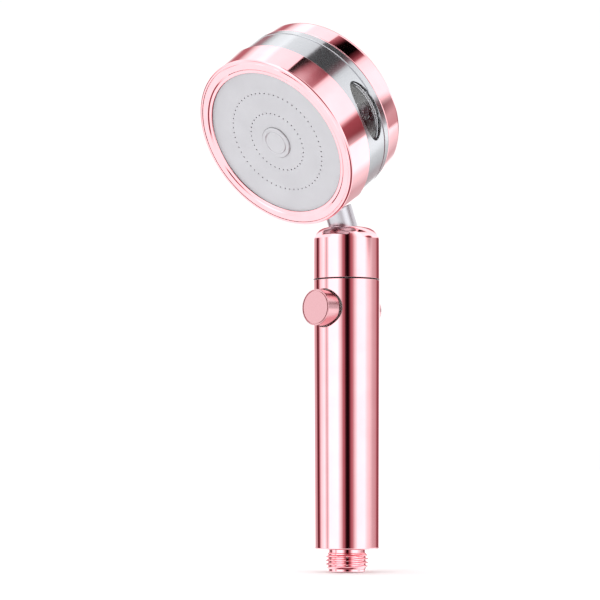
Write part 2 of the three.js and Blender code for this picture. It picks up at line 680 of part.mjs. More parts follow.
// ---- head, in its own frame ----

function frontBezel() {
  const flat = BEZEL_FRONT_RADIUS - BEZEL_ROUND;
  return revolve([
    [BEZEL_OPENING, -BEZEL_LIP],
    [BEZEL_INSIDE, -BEZEL_LIP],
    [BEZEL_INSIDE, -RING_FRONT],
    [BEZEL_BACK_RADIUS - EDGE_BREAK, -RING_FRONT],
    [BEZEL_BACK_RADIUS, -RING_FRONT + EDGE_BREAK],
    ...corner(flat, -BEZEL_ROUND, BEZEL_ROUND, 0, Math.PI / 2, STEPS_SMALL_CORNER),
    [BEZEL_OPENING + EDGE_BREAK, 0],
    [BEZEL_OPENING, -EDGE_BREAK],
  ], FLATS_HEAD);
}

const PLATE_FRONT = BEZEL_LIP + FIT;
const PLATE_BACK = PLATE_FRONT + PLATE_THICK;

function sprayPlate() {
  const holes = SPRAY_RINGS.flatMap(({ count, radius }) => (
    holeCircle(count, radius, SPRAY_HOLE, FLATS_PINHOLE)));
  const stud = { radius: PLATE_BOSS_STUD + FIT, flats: FLATS_TINY, x: 0, y: 0 };
  return holedDisc(BEZEL_INSIDE - FIT, FLATS_HEAD, [...holes, stud], -PLATE_BACK, PLATE_THICK);
}

// The stud in the middle of the plate, with a low domed head and a flange behind.
function plateBoss() {
  const stud = PLATE_BOSS_STUD;
  const head = -PLATE_FRONT + FIT;
  const tail = -PLATE_BACK - FIT;
  return revolve([
    [0, tail - PLATE_BOSS_FLANGE_THICK],
    [PLATE_BOSS_FLANGE, tail - PLATE_BOSS_FLANGE_THICK],
    [PLATE_BOSS_FLANGE, tail],
    [stud, tail],
    [stud, head],
    [PLATE_BOSS, head],
    [PLATE_BOSS, head + PLATE_BOSS_RISE / 2],
    [PLATE_BOSS - PLATE_BOSS_RISE, head + PLATE_BOSS_RISE],
    [0, head + PLATE_BOSS_RISE],
  ]);
}

function plateGasket() {
  const outer = BEZEL_INSIDE - FIT;
  const front = -PLATE_BACK - FIT;
  return tube(outer, outer - GASKET_WIDE, front - GASKET_THICK, front, FLATS_HEAD);
}

function diffuserDisc() {
  const holes = holeCircle(DIFFUSER_HOLES, DIFFUSER_HOLE_CIRCLE, DIFFUSER_HOLE, FLATS_HOLE);
  return holedDisc(RING_SKIRT_IN - FIT, FLATS_HEAD, holes, -DIFFUSER_SEAT, DIFFUSER_THICK);
}

// A window's oval outline. It is smaller all round by inset.
function windowOutline(inset) {
  const shape = new THREE.Shape();
  return shape.absellipse(0, 0, WINDOW_WIDE / 2 - inset, WINDOW_LONG / 2 - inset, 0, 2 * Math.PI, false);
}

// The stretch of a cylinder wall that lies under a window, on the side that sign gives.
function underWindow(sign, inset, outer, inner) {
  const prism = new THREE.ExtrudeGeometry(windowOutline(inset), {
    depth: outer, bevelEnabled: false, curveSegments: FLATS_WINDOW,
  }).rotateY((sign * Math.PI) / 2).translate(0, AXLE_RISE, -AXLE_DEPTH);
  const wall = tube(outer, inner, -RING_REAR, -RING_FRONT, FLATS_HEAD);
  return shapeOf(solid(prism).intersect(solid(wall)));
}

function alongAxle(geometry) {
  return geometry.rotateY(Math.PI / 2).translate(0, AXLE_RISE, -AXLE_DEPTH);
}

// Turns a piece made for the right side over to the side that sign gives.
function onSide(sign, geometry) {
  return alongAxle(sign > 0 ? geometry : geometry.rotateY(Math.PI));
}

const LENS_SKIN = RING_RADIUS - WINDOW_DEEP;
const LENS_BACK = LENS_SKIN - LENS_THICK;

function windowCuts(sign) {
  return [
    underWindow(sign, 0, RING_RADIUS + PAST, LENS_BACK - FIT),
    underWindow(sign, WINDOW_LEDGE, RING_RADIUS + PAST, RING_BORE - PAST),
  ];
}

// The clear lens closes a window, and the boss inside it holds an axle bush.
function windowLens(sign) {
  const pane = underWindow(sign, FIT, LENS_SKIN, LENS_BACK);
  const boss = rod(BUSH_RADIUS + BUSH_BOSS_WALL, BUSH_OUT - BUSH_LENGTH + FIT, LENS_BACK + LENS_THICK / 2);
  const hole = rod(BUSH_RADIUS + RING_FIT, 0, BUSH_OUT + FIT);
  return cut(join(pane, [onSide(sign, boss)]), [onSide(sign, hole)]);
}

function turbineRing() {
  const groove = RING_GROOVE_AT + RING_GROOVE_WIDE;
  const outline = revolve([
    [RING_BORE, -DIVIDER_SEAT],
    [RING_SKIRT_IN, -DIVIDER_SEAT],
    [RING_SKIRT_IN, -RING_BACK_END],
    [RING_SKIRT_OUT, -RING_BACK_END],
    [RING_SKIRT_OUT, -RING_REAR + FIT],
    [RING_RADIUS, -RING_REAR + FIT],
    [RING_RADIUS, -groove],
    [RING_RADIUS - RING_GROOVE_DEEP, -groove + RING_GROOVE_WIDE / 2],
    [RING_RADIUS, -RING_GROOVE_AT],
    [RING_RADIUS, -RING_FRONT - FIT],
    [RING_SKIRT_OUT, -RING_FRONT - FIT],
    [RING_SKIRT_OUT, -SKIRT_FRONT],
    [RING_SKIRT_IN, -SKIRT_FRONT],
    [RING_SKIRT_IN, -DIFFUSER_SEAT - FIT],
    [RING_BORE, -DIFFUSER_SEAT - FIT],
  ], FLATS_HEAD);
  const boss = rod(NECK_BOSS_RADIUS, NECK_SHOULDER + NECK_BOSS_ROOT, NECK_BOSS_TOP).applyMatrix4(neckInHead);
  return cut(join(outline, [boss]), [
    rod(NECK_RADIUS + FIT, 0, NECK_SHOULDER).applyMatrix4(neckInHead),
    rod(NECK_TIP_RADIUS + FIT, 0, NECK_TIP).applyMatrix4(neckInHead),
    ...windowCuts(1),
    ...windowCuts(-1),
  ]);
}

function rearDivider() {
  const low = -DIVIDER_SEAT - FIT - DIVIDER_THICK;
  const outer = RING_SKIRT_IN - FIT;
  const disc = rod(outer, low, low + DIVIDER_THICK, FLATS_HEAD);
  const hub = rod(DIVIDER_HUB, low - DIVIDER_RIB_HIGH, low + DIVIDER_THICK / 2);
  const ribs = Array.from({ length: DIVIDER_RIBS / 2 }, (_, place) => (
    block(2 * (outer - DIVIDER_RIB_HIGH), DIVIDER_RIB_WIDE, DIVIDER_RIB_HIGH)
      .translate(0, 0, low + DIVIDER_THICK / 4 - DIVIDER_RIB_HIGH / 2)
      .rotateZ((2 * Math.PI * place) / DIVIDER_RIBS)));
  return join(disc, [hub, ...ribs]);
}

function rearShell() {
  const edge = REAR_EDGE_RADIUS - REAR_ROUND;
  const inside = REAR_FRONT_RADIUS - REAR_WALL;
  const roof = -HEAD_THICK + REAR_WALL;
  const round = corner(edge, -HEAD_THICK + REAR_ROUND, REAR_ROUND, -Math.PI / 2, 0);
  return revolve([
    [0, -HEAD_THICK],
    ...round,
    [REAR_FRONT_RADIUS, -RING_REAR - EDGE_BREAK],
    [REAR_FRONT_RADIUS - EDGE_BREAK, -RING_REAR],
    [inside, -RING_REAR],
    [inside, roof + REAR_WALL],
    [inside - REAR_WALL, roof],
    [0, roof],
  ], FLATS_HEAD);
}

// ---- turbine: two paddle wheels on an axle across the ring ----

function turbineAxle() {
  const half = BUSH_OUT - BUSH_LENGTH + AXLE_INTO_BUSH;
  return alongAxle(rod(AXLE_RADIUS, -half, half, FLATS_TINY));
}

function axleBush(sign) {
  return onSide(sign, tube(BUSH_RADIUS, AXLE_RADIUS + RING_FIT, BUSH_OUT - BUSH_LENGTH, BUSH_OUT));
}

function impeller(sign) {
  const outer = BUSH_OUT - BUSH_LENGTH - IMPELLER_OFF_BUSH;
  const inner = outer - IMPELLER_WIDE;
  const hub = tube(IMPELLER_HUB, AXLE_RADIUS + FIT, inner, outer);
  const root = IMPELLER_HUB - BLADE_BITE;
  const blades = Array.from({ length: IMPELLER_BLADES }, (_, place) => (
    block(IMPELLER_RADIUS - root, BLADE_THICK, IMPELLER_WIDE)
      .translate((IMPELLER_RADIUS + root) / 2, 0, (inner + outer) / 2)
      .rotateZ((2 * Math.PI * place) / IMPELLER_BLADES)));
  return onSide(sign, join(hub, blades));
}

// ---- the assembly ----

place('handle_shell', handleShell(), roseGold);
place('hose_connector', hoseConnector(), roseGold);
place('connector_nut', connectorNut(), brass);
place('connector_o_ring', softRing(CONNECTOR_SPIGOT - GROOVE_DEPTH, CONNECTOR_RING_Z), blackRubber);
place('flow_regulator', flowRegulator(), darkPlastic);
place('inlet_screen', inletScreen(), stainless);
place('water_tube', waterTube(), whitePlastic);
place('valve_block', valveBlock(), whitePlastic);

place('stop_button', stopButton(), roseGold);
place('valve_spool', valveSpool(), darkPlastic);
place('return_button', returnButton(), roseGold);
SPOOL_RING_PLACES.forEach((y, index) => {
  const ring = acrossHandle(softRing(SPOOL_RADIUS - GROOVE_DEPTH, y));
  place(`spool_o_ring_${index + 1}`, ring, blackRubber);
});

place('swivel_spigot', swivelSpigot(), brass);
place('swivel_washer', swivelWasher(), whitePlastic);
place('swivel_o_ring', softRing(SPIGOT_RADIUS - GROOVE_DEPTH, SEAM_Z + SWIVEL_RING_RISE), blackRubber);
place('swivel_snap_ring', snapRing(SPIGOT_RADIUS, SEAM_Z + SNAP_RISE), stainless);
place('swivel_socket', swivelSocket(), whitePlastic);
place('swivel_collar', swivelCollar(), roseGold);

place('neck_pipe', neckPipe(), satinChrome, neckGroup);
place('neck_foot_o_ring', softRing(NECK_RADIUS - GROOVE_DEPTH, NECK_FOOT_RING), blackRubber, neckGroup);
place('neck_snap_ring', snapRing(NECK_RADIUS, NECK_SNAP), stainless, neckGroup);
place('neck_tip_o_ring', softRing(NECK_TIP_RADIUS - GROOVE_DEPTH, NECK_SHOULDER + NECK_TIP_RING),
  blackRubber, neckGroup);
place('neck_nut', neckNut(), brass, neckGroup);

place('front_bezel', frontBezel(), roseGold, headGroup);
place('spray_plate', sprayPlate(), satinSteel, headGroup);
place('plate_boss', plateBoss(), satinSteel, headGroup);
place('plate_gasket', plateGasket(), siliconeGrey, headGroup);
place('diffuser_disc', diffuserDisc(), whitePlastic, headGroup);
place('turbine_ring', turbineRing(), silverPlate, headGroup);
place('rear_divider', rearDivider(), whitePlastic, headGroup);
place('rear_shell', rearShell(), roseGold, headGroup);

place('turbine_axle', turbineAxle(), stainless, headGroup);
for (const [side, sign] of [['left', -1], ['right', 1]]) {
  place(`window_lens_${side}`, windowLens(sign), clearPlastic, headGroup);
  place(`impeller_${side}`, impeller(sign), darkPlastic, headGroup);
  place(`axle_bush_${side}`, axleBush(sign), darkPlastic, headGroup);
}

export default shower;
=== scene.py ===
"""Handheld shower head with a stop valve, a swivelling head and a turbine behind two side windows."""
import json
import math

import bmesh
import bpy
from mathutils import Matrix, Vector


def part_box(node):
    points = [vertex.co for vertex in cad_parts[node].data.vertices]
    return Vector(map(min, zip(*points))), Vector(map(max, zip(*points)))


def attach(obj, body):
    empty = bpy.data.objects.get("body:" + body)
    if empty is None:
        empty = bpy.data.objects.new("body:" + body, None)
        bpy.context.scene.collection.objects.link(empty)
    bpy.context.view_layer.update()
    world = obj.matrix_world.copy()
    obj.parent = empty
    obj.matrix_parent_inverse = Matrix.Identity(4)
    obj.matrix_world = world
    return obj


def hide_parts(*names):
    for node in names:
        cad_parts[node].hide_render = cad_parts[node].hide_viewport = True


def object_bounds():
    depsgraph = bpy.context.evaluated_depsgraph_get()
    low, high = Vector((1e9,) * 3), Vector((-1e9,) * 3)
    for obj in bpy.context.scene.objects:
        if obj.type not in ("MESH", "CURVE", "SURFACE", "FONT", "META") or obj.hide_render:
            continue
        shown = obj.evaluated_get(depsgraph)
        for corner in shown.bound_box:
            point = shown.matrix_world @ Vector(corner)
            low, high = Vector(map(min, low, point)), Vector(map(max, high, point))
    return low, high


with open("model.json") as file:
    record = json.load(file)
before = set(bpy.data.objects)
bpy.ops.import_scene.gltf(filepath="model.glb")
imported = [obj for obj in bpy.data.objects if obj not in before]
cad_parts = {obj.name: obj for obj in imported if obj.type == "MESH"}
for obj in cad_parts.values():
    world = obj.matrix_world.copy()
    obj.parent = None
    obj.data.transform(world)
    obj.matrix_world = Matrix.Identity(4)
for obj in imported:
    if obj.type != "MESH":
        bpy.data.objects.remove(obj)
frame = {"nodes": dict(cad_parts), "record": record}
cad_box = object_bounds()
MM = 0.001

# ---- Camera ----
# A long lens stands low in front of the handle and looks slightly up at the head. Its heading is
# taken from the spray face, which turns 44 degrees away from it.
low, high = cad_box
aim_height = (low.z + high.z) / 2 + 0.6 * MM
heading = math.radians(43.67)
rise = math.radians(4.08)
distance = 1029 * MM
forward = Vector((-math.sin(heading) * math.cos(rise), math.cos(heading) * math.cos(rise), math.sin(rise)))
beside = Vector((math.cos(heading), math.sin(heading), 0))
camera_data = bpy.data.cameras.new("studio_camera")
camera_data.sensor_width = 36
camera_data.lens = 126
camera_data.clip_start = 0.01
camera = bpy.data.objects.new("studio_camera", camera_data)
camera.location = Vector((0, 0, aim_height)) - beside * 22.76 * MM - forward * distance
camera.rotation_euler = forward.to_track_quat("-Z", "Y").to_euler()
bpy.context.scene.collection.objects.link(camera)
bpy.context.scene.camera = camera
bpy.context.scene.view_settings.view_transform = "Standard"


# ---- Studio light ----
# A white tent with a tall black flag and a few softer grey ones, as used for plated goods: the flags
# give the metal its dark stripes. Overhead hangs one black card.
def linear(code):
    """The linear colour of an sRGB hex code."""
    channels = [int(code[place:place + 2], 16) / 255 for place in (1, 3, 5)]
    return tuple(c / 12.92 if c <= 0.04045 else ((c + 0.055) / 1.055) ** 2.4 for c in channels) + (1.0,)


def add(tree, kind, inputs=None, **settings):
    """Adds one node. An input is given a value, or another node's output to be linked to."""
    made = tree.nodes.new(kind)
    for name, value in settings.items():
        setattr(made, name, value)
    for name, value in (inputs or {}).items():
        if isinstance(value, bpy.types.NodeSocket):
            tree.links.new(value, made.inputs[name])
        else:
            made.inputs[name].default_value = value
    return made


def set_stops(ramp, stops, interpolation="LINEAR"):
    """Fills a colour ramp from pairs of place and colour."""
    ramp.interpolation = interpolation
    while len(ramp.elements) > 1:
        ramp.elements.remove(ramp.elements[-1])
    ramp.elements[0].position, ramp.elements[0].color = stops[0]
    for place, colour in stops[1:]:
        ramp.elements.new(place).color = colour


world = bpy.data.worlds.new("white_tent")
world.use_nodes = True
tent = world.node_tree
tent.nodes.clear()
to_front = beside.cross(Vector((0, 0, 1)))
compass = add(tent, "ShaderNodeTexCoord").outputs["Generated"]
towards = add(tent, "ShaderNodeVectorMath", {0: compass, 1: to_front}, operation="DOT_PRODUCT")
rightward = add(tent, "ShaderNodeVectorMath", {0: compass, 1: beside}, operation="DOT_PRODUCT")
upward = add(tent, "ShaderNodeVectorMath", {0: compass, 1: (0, 0, 1)}, operation="DOT_PRODUCT")
turned = add(tent, "ShaderNodeMath", {0: rightward.outputs["Value"], 1: towards.outputs["Value"]}, operation="ARCTAN2")
bearing = add(tent, "ShaderNodeMath", {0: turned.outputs[0]}, operation="DEGREES").outputs[0]
climb = add(tent, "ShaderNodeMath", {0: upward.outputs["Value"]}, operation="ARCSINE")
height = add(tent, "ShaderNodeMath", {0: climb.outputs[0]}, operation="DEGREES").outputs[0]
round_share = add(tent, "ShaderNodeMapRange", {"Value": bearing, "From Min": -180, "From Max": 180}).outputs["Result"]

# The tall cards round the horizon, by bearing from the camera: black flag in the middle, white
# lights at both sides of it, and narrow flags towards the edges. The middle ones lean in overhead,
# and all but those behind on the right run down to the ground.
tall_cards = add(tent, "ShaderNodeValToRGB", {"Fac": round_share})
set_stops(tall_cards.color_ramp, [((angle + 180) / 360, (level, level, level, 1)) for angle, level in (
    (-180, 0.9), (-158, 0.8), (-146, 0.36), (-131, 0.35), (-123, 0.05), (-117, 0.06), (-110, 0.33), (-102, 0.6),
    (-86, 0.85), (-76, 0.42), (-72, 0.42), (-64, 0.95), (-33, 1), (-23, 0.58), (-15, 0.3), (-8, 0.19),
    (-4, 0.02), (5, 0), (9, 0.06), (15, 0.24), (22, 0.32), (30, 0.6), (38, 0.92), (64, 0.95), (76, 0.67),
    (102, 0.38), (124, 0.32), (136, 0.12), (143, 0.12), (150, 0.28), (166, 0.75), (180, 0.9))])

# The low wall under them, and the overhead light with its one black card, square-edged on its left.
low_wall = add(tent, "ShaderNodeValToRGB", {"Fac": round_share})
set_stops(low_wall.color_ramp, [((angle + 180) / 360, (level, level, level, 1)) for angle, level in (
    (-180, 0.36), (-150, 0.42), (-120, 0.8), (121, 0.95), (130, 0.62), (139, 0.5), (149, 0.37), (180, 0.36))])
steep = add(tent, "ShaderNodeMath", {0: upward.outputs["Value"], 1: 0.05}, operation="MAXIMUM").outputs[0]
over_right = add(tent, "ShaderNodeMath", {0: rightward.outputs["Value"], 1: steep}, operation="DIVIDE")
over_front = add(tent, "ShaderNodeMath", {0: towards.outputs["Value"], 1: steep}, operation="DIVIDE")
past_edge = add(tent, "ShaderNodeMath", {0: over_front.outputs[0], 1: 0.569, 2: over_right.outputs[0]},
                operation="MULTIPLY_ADD")
over_share = add(tent, "ShaderNodeMapRange", {"Value": past_edge.outputs[0], "From Min": -1, "From Max": 1.5})
overhead = add(tent, "ShaderNodeValToRGB", {"Fac": over_share.outputs["Result"]})
set_stops(overhead.color_ramp, [((place + 1) / 2.5, (level, level, level, 1)) for place, level in (
    (-1, 0.78), (-0.6, 0.85), (-0.42, 1), (-0.3, 0.76), (0.14, 0.72), (0.16, 0), (0.62, 0), (0.73, 0.07),
    (0.83, 0.2), (0.92, 0.6), (1.02, 0.76), (1.5, 0.85))])
past_card = add(tent, "ShaderNodeMapRange", {"Value": over_front.outputs[0], "From Min": -0.1, "From Max": -0.3})
roof = add(tent, "ShaderNodeMix", {"Factor": past_card.outputs["Result"], 6: overhead.outputs["Color"],
                                   7: (0.78, 0.78, 0.78, 1)}, data_type="RGBA", blend_type="LIGHTEN").outputs[2]
above = add(tent, "ShaderNodeMapRange", {"Value": height, "From Min": -6, "From Max": 8}).outputs["Result"]
walls = add(tent, "ShaderNodeMix", {"Factor": above, 6: low_wall.outputs["Color"], 7: roof},
            data_type="RGBA").outputs[2]
cards_from = add(tent, "ShaderNodeMapRange", {"Value": height, "From Min": -4.6, "From Max": -3.4}).outputs["Result"]
cards_to = add(tent, "ShaderNodeMapRange", {"Value": height, "From Min": 13, "From Max": 9}).outputs["Result"]
off_middle = add(tent, "ShaderNodeMath", {0: bearing}, operation="ABSOLUTE").outputs[0]
cards_over = add(tent, "ShaderNodeMapRange", {"Value": off_middle, "From Min": 64, "From Max": 56}).outputs["Result"]
cards_up = add(tent, "ShaderNodeMath", {0: cards_to, 1: cards_over}, operation="MAXIMUM").outputs[0]
cards_right = add(tent, "ShaderNodeMapRange", {"Value": bearing, "From Min": 92, "From Max": 84}).outputs["Result"]
cards_left = add(tent, "ShaderNodeMapRange", {"Value": bearing, "From Min": -160, "From Max": -150}).outputs["Result"]
cards_under = add(tent, "ShaderNodeMath", {0: cards_right, 1: cards_left}, operation="MULTIPLY").outputs[0]
cards_down = add(tent, "ShaderNodeMath", {0: cards_from, 1: cards_under}, operation="MAXIMUM").outputs[0]
in_cards = add(tent, "ShaderNodeMath", {0: cards_down, 1: cards_up}, operation="MULTIPLY").outputs[0]
standing = add(tent, "ShaderNodeMix", {"Factor": in_cards, 6: walls, 7: tall_cards.outputs["Color"]},
               data_type="RGBA").outputs[2]

# A soft grey scrim at the back shades the head's top.
from_back = add(tent, "ShaderNodeMath", {0: height, 1: 33.0}, operation="SUBTRACT")
off_back = add(tent, "ShaderNodeMath", {0: from_back.outputs[0]}, operation="ABSOLUTE").outputs[0]
back_level = add(tent, "ShaderNodeMapRange", {"Value": off_back, "From Min": 2, "From Max": 24, "To Min": 0.26},
                 interpolation_type="SMOOTHSTEP").outputs["Result"]
back_here = add(tent, "ShaderNodeMapRange", {
    "Value": off_middle, "From Min": 130, "From Max": 148}).outputs["Result"]
back_scrim = add(tent, "ShaderNodeMapRange", {
    "Value": back_here, "To Min": 1.0, "To Max": back_level}).outputs["Result"]

# Further down lies a pale ground, dark right under the goods.
ground = add(tent, "ShaderNodeMapRange", {"Value": height, "From Min": -18, "From Max": -26}).outputs["Result"]
underfoot = add(tent, "ShaderNodeMapRange", {
    "Value": height, "From Min": -50, "From Max": -60, "To Min": 0.76, "To Max": 0.16}).outputs["Result"]
grounded = add(tent, "ShaderNodeMix", {"Factor": ground, 6: standing, 7: underfoot}, data_type="RGBA").outputs[2]
level = add(tent, "ShaderNodeMath", {0: grounded, 1: back_scrim}, operation="MINIMUM").outputs[0]

# The plated goods throw a rose glow onto the flags' soft edges, so the dim levels are tinted.
glow = add(tent, "ShaderNodeValToRGB", {"Fac": level})
set_stops(glow.color_ramp, [
    (0, (0, 0, 0, 1)), (0.08, (0.077, 0.02, 0.025, 1)), (0.2, (0.2, 0.08, 0.092, 1)),
    (0.27, (0.273, 0.11, 0.125, 1)), (0.35, (0.357, 0.287, 0.292, 1)), (0.42, (0.42, 0.4, 0.405, 1)),
    (0.5, (0.5, 0.5, 0.5, 1)), (1, (1, 1, 1, 1))])
seen = add(tent, "ShaderNodeLightPath")
tent_light = add(tent, "ShaderNodeBackground", {"Color": glow.outputs["Color"], "Strength": 2.0})
open_white = add(tent, "ShaderNodeBackground", {"Color": (1, 1, 1, 1), "Strength": 1.02})
either = add(tent, "ShaderNodeMixShader", {0: seen.outputs["Is Camera Ray"], 1: tent_light.outputs[0],
                                           2: open_white.outputs[0]})
add(tent, "ShaderNodeOutputWorld", {"Surface": either.outputs[0]})
bpy.context.scene.world = world


# ---- Floor ----
# A wide sweep of pale painted board just below the hose connector. Glossy rays pass it, so that the
# tent's flags run on down the plated handle.
def start_material(name):
    """An empty node material and its tree."""
    material = bpy.data.materials.new(name)
    material.use_nodes = True
    material.node_tree.nodes.clear()
    return material, material.node_tree


def mesh_object(name, shape):
    """Turns a bmesh into an object of the scene."""
    mesh = bpy.data.meshes.new(name)
    shape.to_mesh(mesh)
    shape.free()
    made = bpy.data.objects.new(name, mesh)
    bpy.context.scene.collection.objects.link(made)
    return made


floor_half = 4.0
shape = bmesh.new()
bmesh.ops.create_grid(shape, x_segments=8, y_segments=8, size=floor_half)
bmesh.ops.translate(shape, verts=shape.verts, vec=(0, 0, low.z - 0.3 * MM))
floor = mesh_object("studio_floor", shape)
floor.visible_glossy = False
# Painted board, matt: a faint mottle keeps it from looking like bare background.
painted_board, tree = start_material("painted_board_matt_white")
where = add(tree, "ShaderNodeTexCoord")
mottle = add(tree, "ShaderNodeTexNoise", {"Vector": where.outputs["Object"], "Scale": 12, "Detail": 3})
tint = add(tree, "ShaderNodeValToRGB", {"Fac": mottle.outputs["Fac"]})
set_stops(tint.color_ramp, [(0.3, linear("#f4f4f4")), (0.7, linear("#f7f7f7"))])
board = add(tree, "ShaderNodeBsdfPrincipled", {"Base Color": tint.outputs["Color"], "Roughness": 0.9})
add(tree, "ShaderNodeOutputMaterial", {"Surface": board.outputs[0]})
floor.data.materials.append(painted_board)

# ---- Side scrim ----
# A dim glowing card hangs to the right of the head and level with it, in place of a dark cloth scrim, so it
# shades the head's side and leaves the handle clear. Its edges fade out, and it is only seen mirrored in the plate.
scrim_half_wide = 125
scrim_half_high = 76
scrim_away = 300 * MM
scrim_bearing = math.radians(92)
scrim_rise = math.radians(5.5)
ring_low_corner, ring_high_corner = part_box("turbine_ring")
head_side = (ring_low_corner + ring_high_corner) / 2
head_side.x = ring_high_corner.x
scrim_way = (to_front * math.cos(scrim_bearing) + beside * math.sin(scrim_bearing)) * math.cos(scrim_rise)
scrim_way.z = math.sin(scrim_rise)
shape = bmesh.new()
bmesh.ops.create_grid(shape, x_segments=4, y_segments=4, size=1)
bmesh.ops.scale(shape, verts=shape.verts, vec=(scrim_half_wide * MM, scrim_half_high * MM, 1))
scrim = mesh_object("studio_side_scrim", shape)
scrim.matrix_world = (Matrix.Translation(head_side + scrim_way * scrim_away)
                      @ scrim_way.to_track_quat("Z", "Y").to_matrix().to_4x4())
scrim.visible_camera = False
scrim.visible_diffuse = False
scrim.visible_shadow = False
# Painted rose glow: the card emits deep red in place of dark cloth lit by the goods, darker towards its far end, edges
# faded out.
scrim_glow_card, tree = start_material("scrim_painted_rose_glow_soft_edged")
where = add(tree, "ShaderNodeTexCoord").outputs["Object"]
spread = add(tree, "ShaderNodeVectorMath", {
    0: where, 1: (1000 / scrim_half_wide, 1000 / scrim_half_high, 1)}, operation="MULTIPLY").outputs["Vector"]
from_middle = add(tree, "ShaderNodeVectorMath", {0: spread}, operation="LENGTH").outputs["Value"]
cover = add(tree, "ShaderNodeMapRange", {"Value": from_middle, "From Min": 1, "From Max": 0.4},
            interpolation_type="SMOOTHSTEP").outputs["Result"]
along = add(tree, "ShaderNodeSeparateXYZ", {"Vector": spread}).outputs["X"]
deepening = add(tree, "ShaderNodeMapRange", {"Value": along, "From Min": -0.5, "From Max": 0.5}).outputs["Result"]
scrim_glow_colour = add(tree, "ShaderNodeValToRGB", {"Fac": deepening})
set_stops(scrim_glow_colour.color_ramp, [(0, (0.42, 0.13, 0.15, 1)), (1, (0.13, 0.03, 0.037, 1))])
scrim_glow = add(tree, "ShaderNodeEmission", {"Color": scrim_glow_colour.outputs["Color"]})
nothing = add(tree, "ShaderNodeBsdfTransparent")
faded = add(tree, "ShaderNodeMixShader", {0: cover, 1: nothing.outputs[0], 2: scrim_glow.outputs[0]})
add(tree, "ShaderNodeOutputMaterial", {"Surface": faded.outputs[0]})
scrim.data.materials.append(scrim_glow_card)


# ---- Handle shell ----
# A tapered tube of ABS with a closed foot, moulded in one and plated a bright rose gold inside and
# out. A round hole at the front and one at the back let the stop valve's two buttons through.
def soften(outline, steps=6):
    """Rounds each corner of an outline that has a third number, its radius, as an arc."""
    points = []
    for place, corner in enumerate(outline):
        here = Vector(corner[:2])
        if len(corner) == 2:
            points.append(here)
            continue
        before = (Vector(outline[place - 1][:2]) - here).normalized()
        after = (Vector(outline[(place + 1) % len(outline)][:2]) - here).normalized()
        half = before.angle(after) / 2
        centre = here + (before + after).normalized() * corner[2] / math.sin(half)
        start = here + before * corner[2] / math.tan(half) - centre
        end = here + after * corner[2] / math.tan(half) - centre
        for step in range(steps + 1):
            points.append(centre + start.lerp(end, step / steps).normalized() * corner[2])
    return points


def turn(outline, place, flats=160):
    """Turns an outline of radius and height, in millimetres, about a frame's Z axis."""
    points = soften(outline)
    shape = bmesh.new()
    ring = [shape.verts.new((point.x * MM, 0, point.y * MM)) for point in points]
    pairs = list(zip(ring, ring[1:]))
    if points[0].x > 0 and points[-1].x > 0:
        pairs.append((ring[-1], ring[0]))
    edges = [shape.edges.new(pair) for pair in pairs]
    bmesh.ops.spin(shape, geom=ring + edges, cent=(0, 0, 0), axis=(0, 0, 1), angle=2 * math.pi,
                   steps=flats, use_merge=True)
    bmesh.ops.remove_doubles(shape, verts=shape.verts, dist=1e-7)
    bmesh.ops.recalc_face_normals(shape, faces=shape.faces)
    shape.transform(place)
    return shape


def carve(piece, cutters):
    """Cuts other objects out of a piece, and removes them."""
    for cutter in cutters:
        knife = piece.modifiers.new("cut", "BOOLEAN")
        knife.operation = "DIFFERENCE"
        knife.solver = "EXACT"
        knife.object = cutter
    settle(piece)
    for cutter in cutters:
        bpy.data.objects.remove(cutter)


def settle(piece):
    """Makes a piece's modifiers part of its mesh."""
    bpy.context.view_layer.update()
    shaped = bpy.data.meshes.new_from_object(piece.evaluated_get(bpy.context.evaluated_depsgraph_get()))
    piece.modifiers.clear()
    piece.data = shaped


def polish(piece, sharp=35, round_place=None):
    """Shades a piece smooth between its sharp edges. Skins turned about a frame's axis shade as true rounds."""
    piece.data.shade_smooth()
    piece.data.set_sharp_from_angle(angle=math.radians(sharp))
    weighted = piece.modifiers.new("weighted", "WEIGHTED_NORMAL")
    weighted.weight = 100
    weighted.keep_sharp = True
    settle(piece)
    if round_place is None:
        return
    inward = round_place.inverted()
    turn_out = round_place.to_3x3()
    mesh = piece.data
    normals = [Vector(corner.vector) for corner in mesh.corner_normals]
    for face in mesh.polygons:
        flat = inward.to_3x3() @ face.normal
        if abs(flat.z) > 0.05:
            continue
        for loop in face.loop_indices:
            local = inward @ mesh.vertices[mesh.loops[loop].vertex_index].co
            out = Vector((local.x, local.y, 0)).normalized()
            if abs(out.dot(flat)) > 0.99:
                normals[loop] = turn_out @ out * math.copysign(1, out.dot(flat))
    mesh.normals_split_custom_set(normals)


def upright(height):
    """A frame that stands on the handle's axis at a height in metres."""
    return Matrix.Translation((0, 0, height))


shell_low, shell_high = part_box("handle_shell")
shell_length = (shell_high.z - shell_low.z) / MM
top_radius = shell_high.x / MM
foot_radius = 15.7
shell_bore = 13.6
foot_floor = 4
foot_hole = 9.2
foot_recess = 11.5
recess_deep = 1.9
seam_deep = 1.2
seam_below = 0.15
shell = mesh_object("handle_skin", turn([
    (foot_hole, recess_deep), (foot_recess, recess_deep), (foot_recess, 0), (foot_radius, 0, 0.7),
    (top_radius, shell_length - seam_below, 0.1), (top_radius - seam_deep, shell_length - seam_below),
    (top_radius - seam_deep, shell_length), (shell_bore, shell_length), (shell_bore, foot_floor),
    (foot_hole, foot_floor),
], upright(shell_low.z), flats=192))
valve_low, valve_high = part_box("valve_spool")
valve_height = (valve_low.z + valve_high.z) / 2
front_hole = 9.5
back_hole = 7.8
across = Matrix.Translation((0, 0, valve_height)) @ Matrix.Rotation(math.radians(90), 4, "X")
carve(shell, [
    mesh_object("front_cutter", turn([(0, 2), (front_hole, 2), (front_hole, 20), (0, 20)], across, flats=96)),
    mesh_object("back_cutter", turn([(0, -20), (back_hole, -20), (back_hole, -2), (0, -2)], across, flats=96)),
])
polish(shell, round_place=upright(shell_low.z))

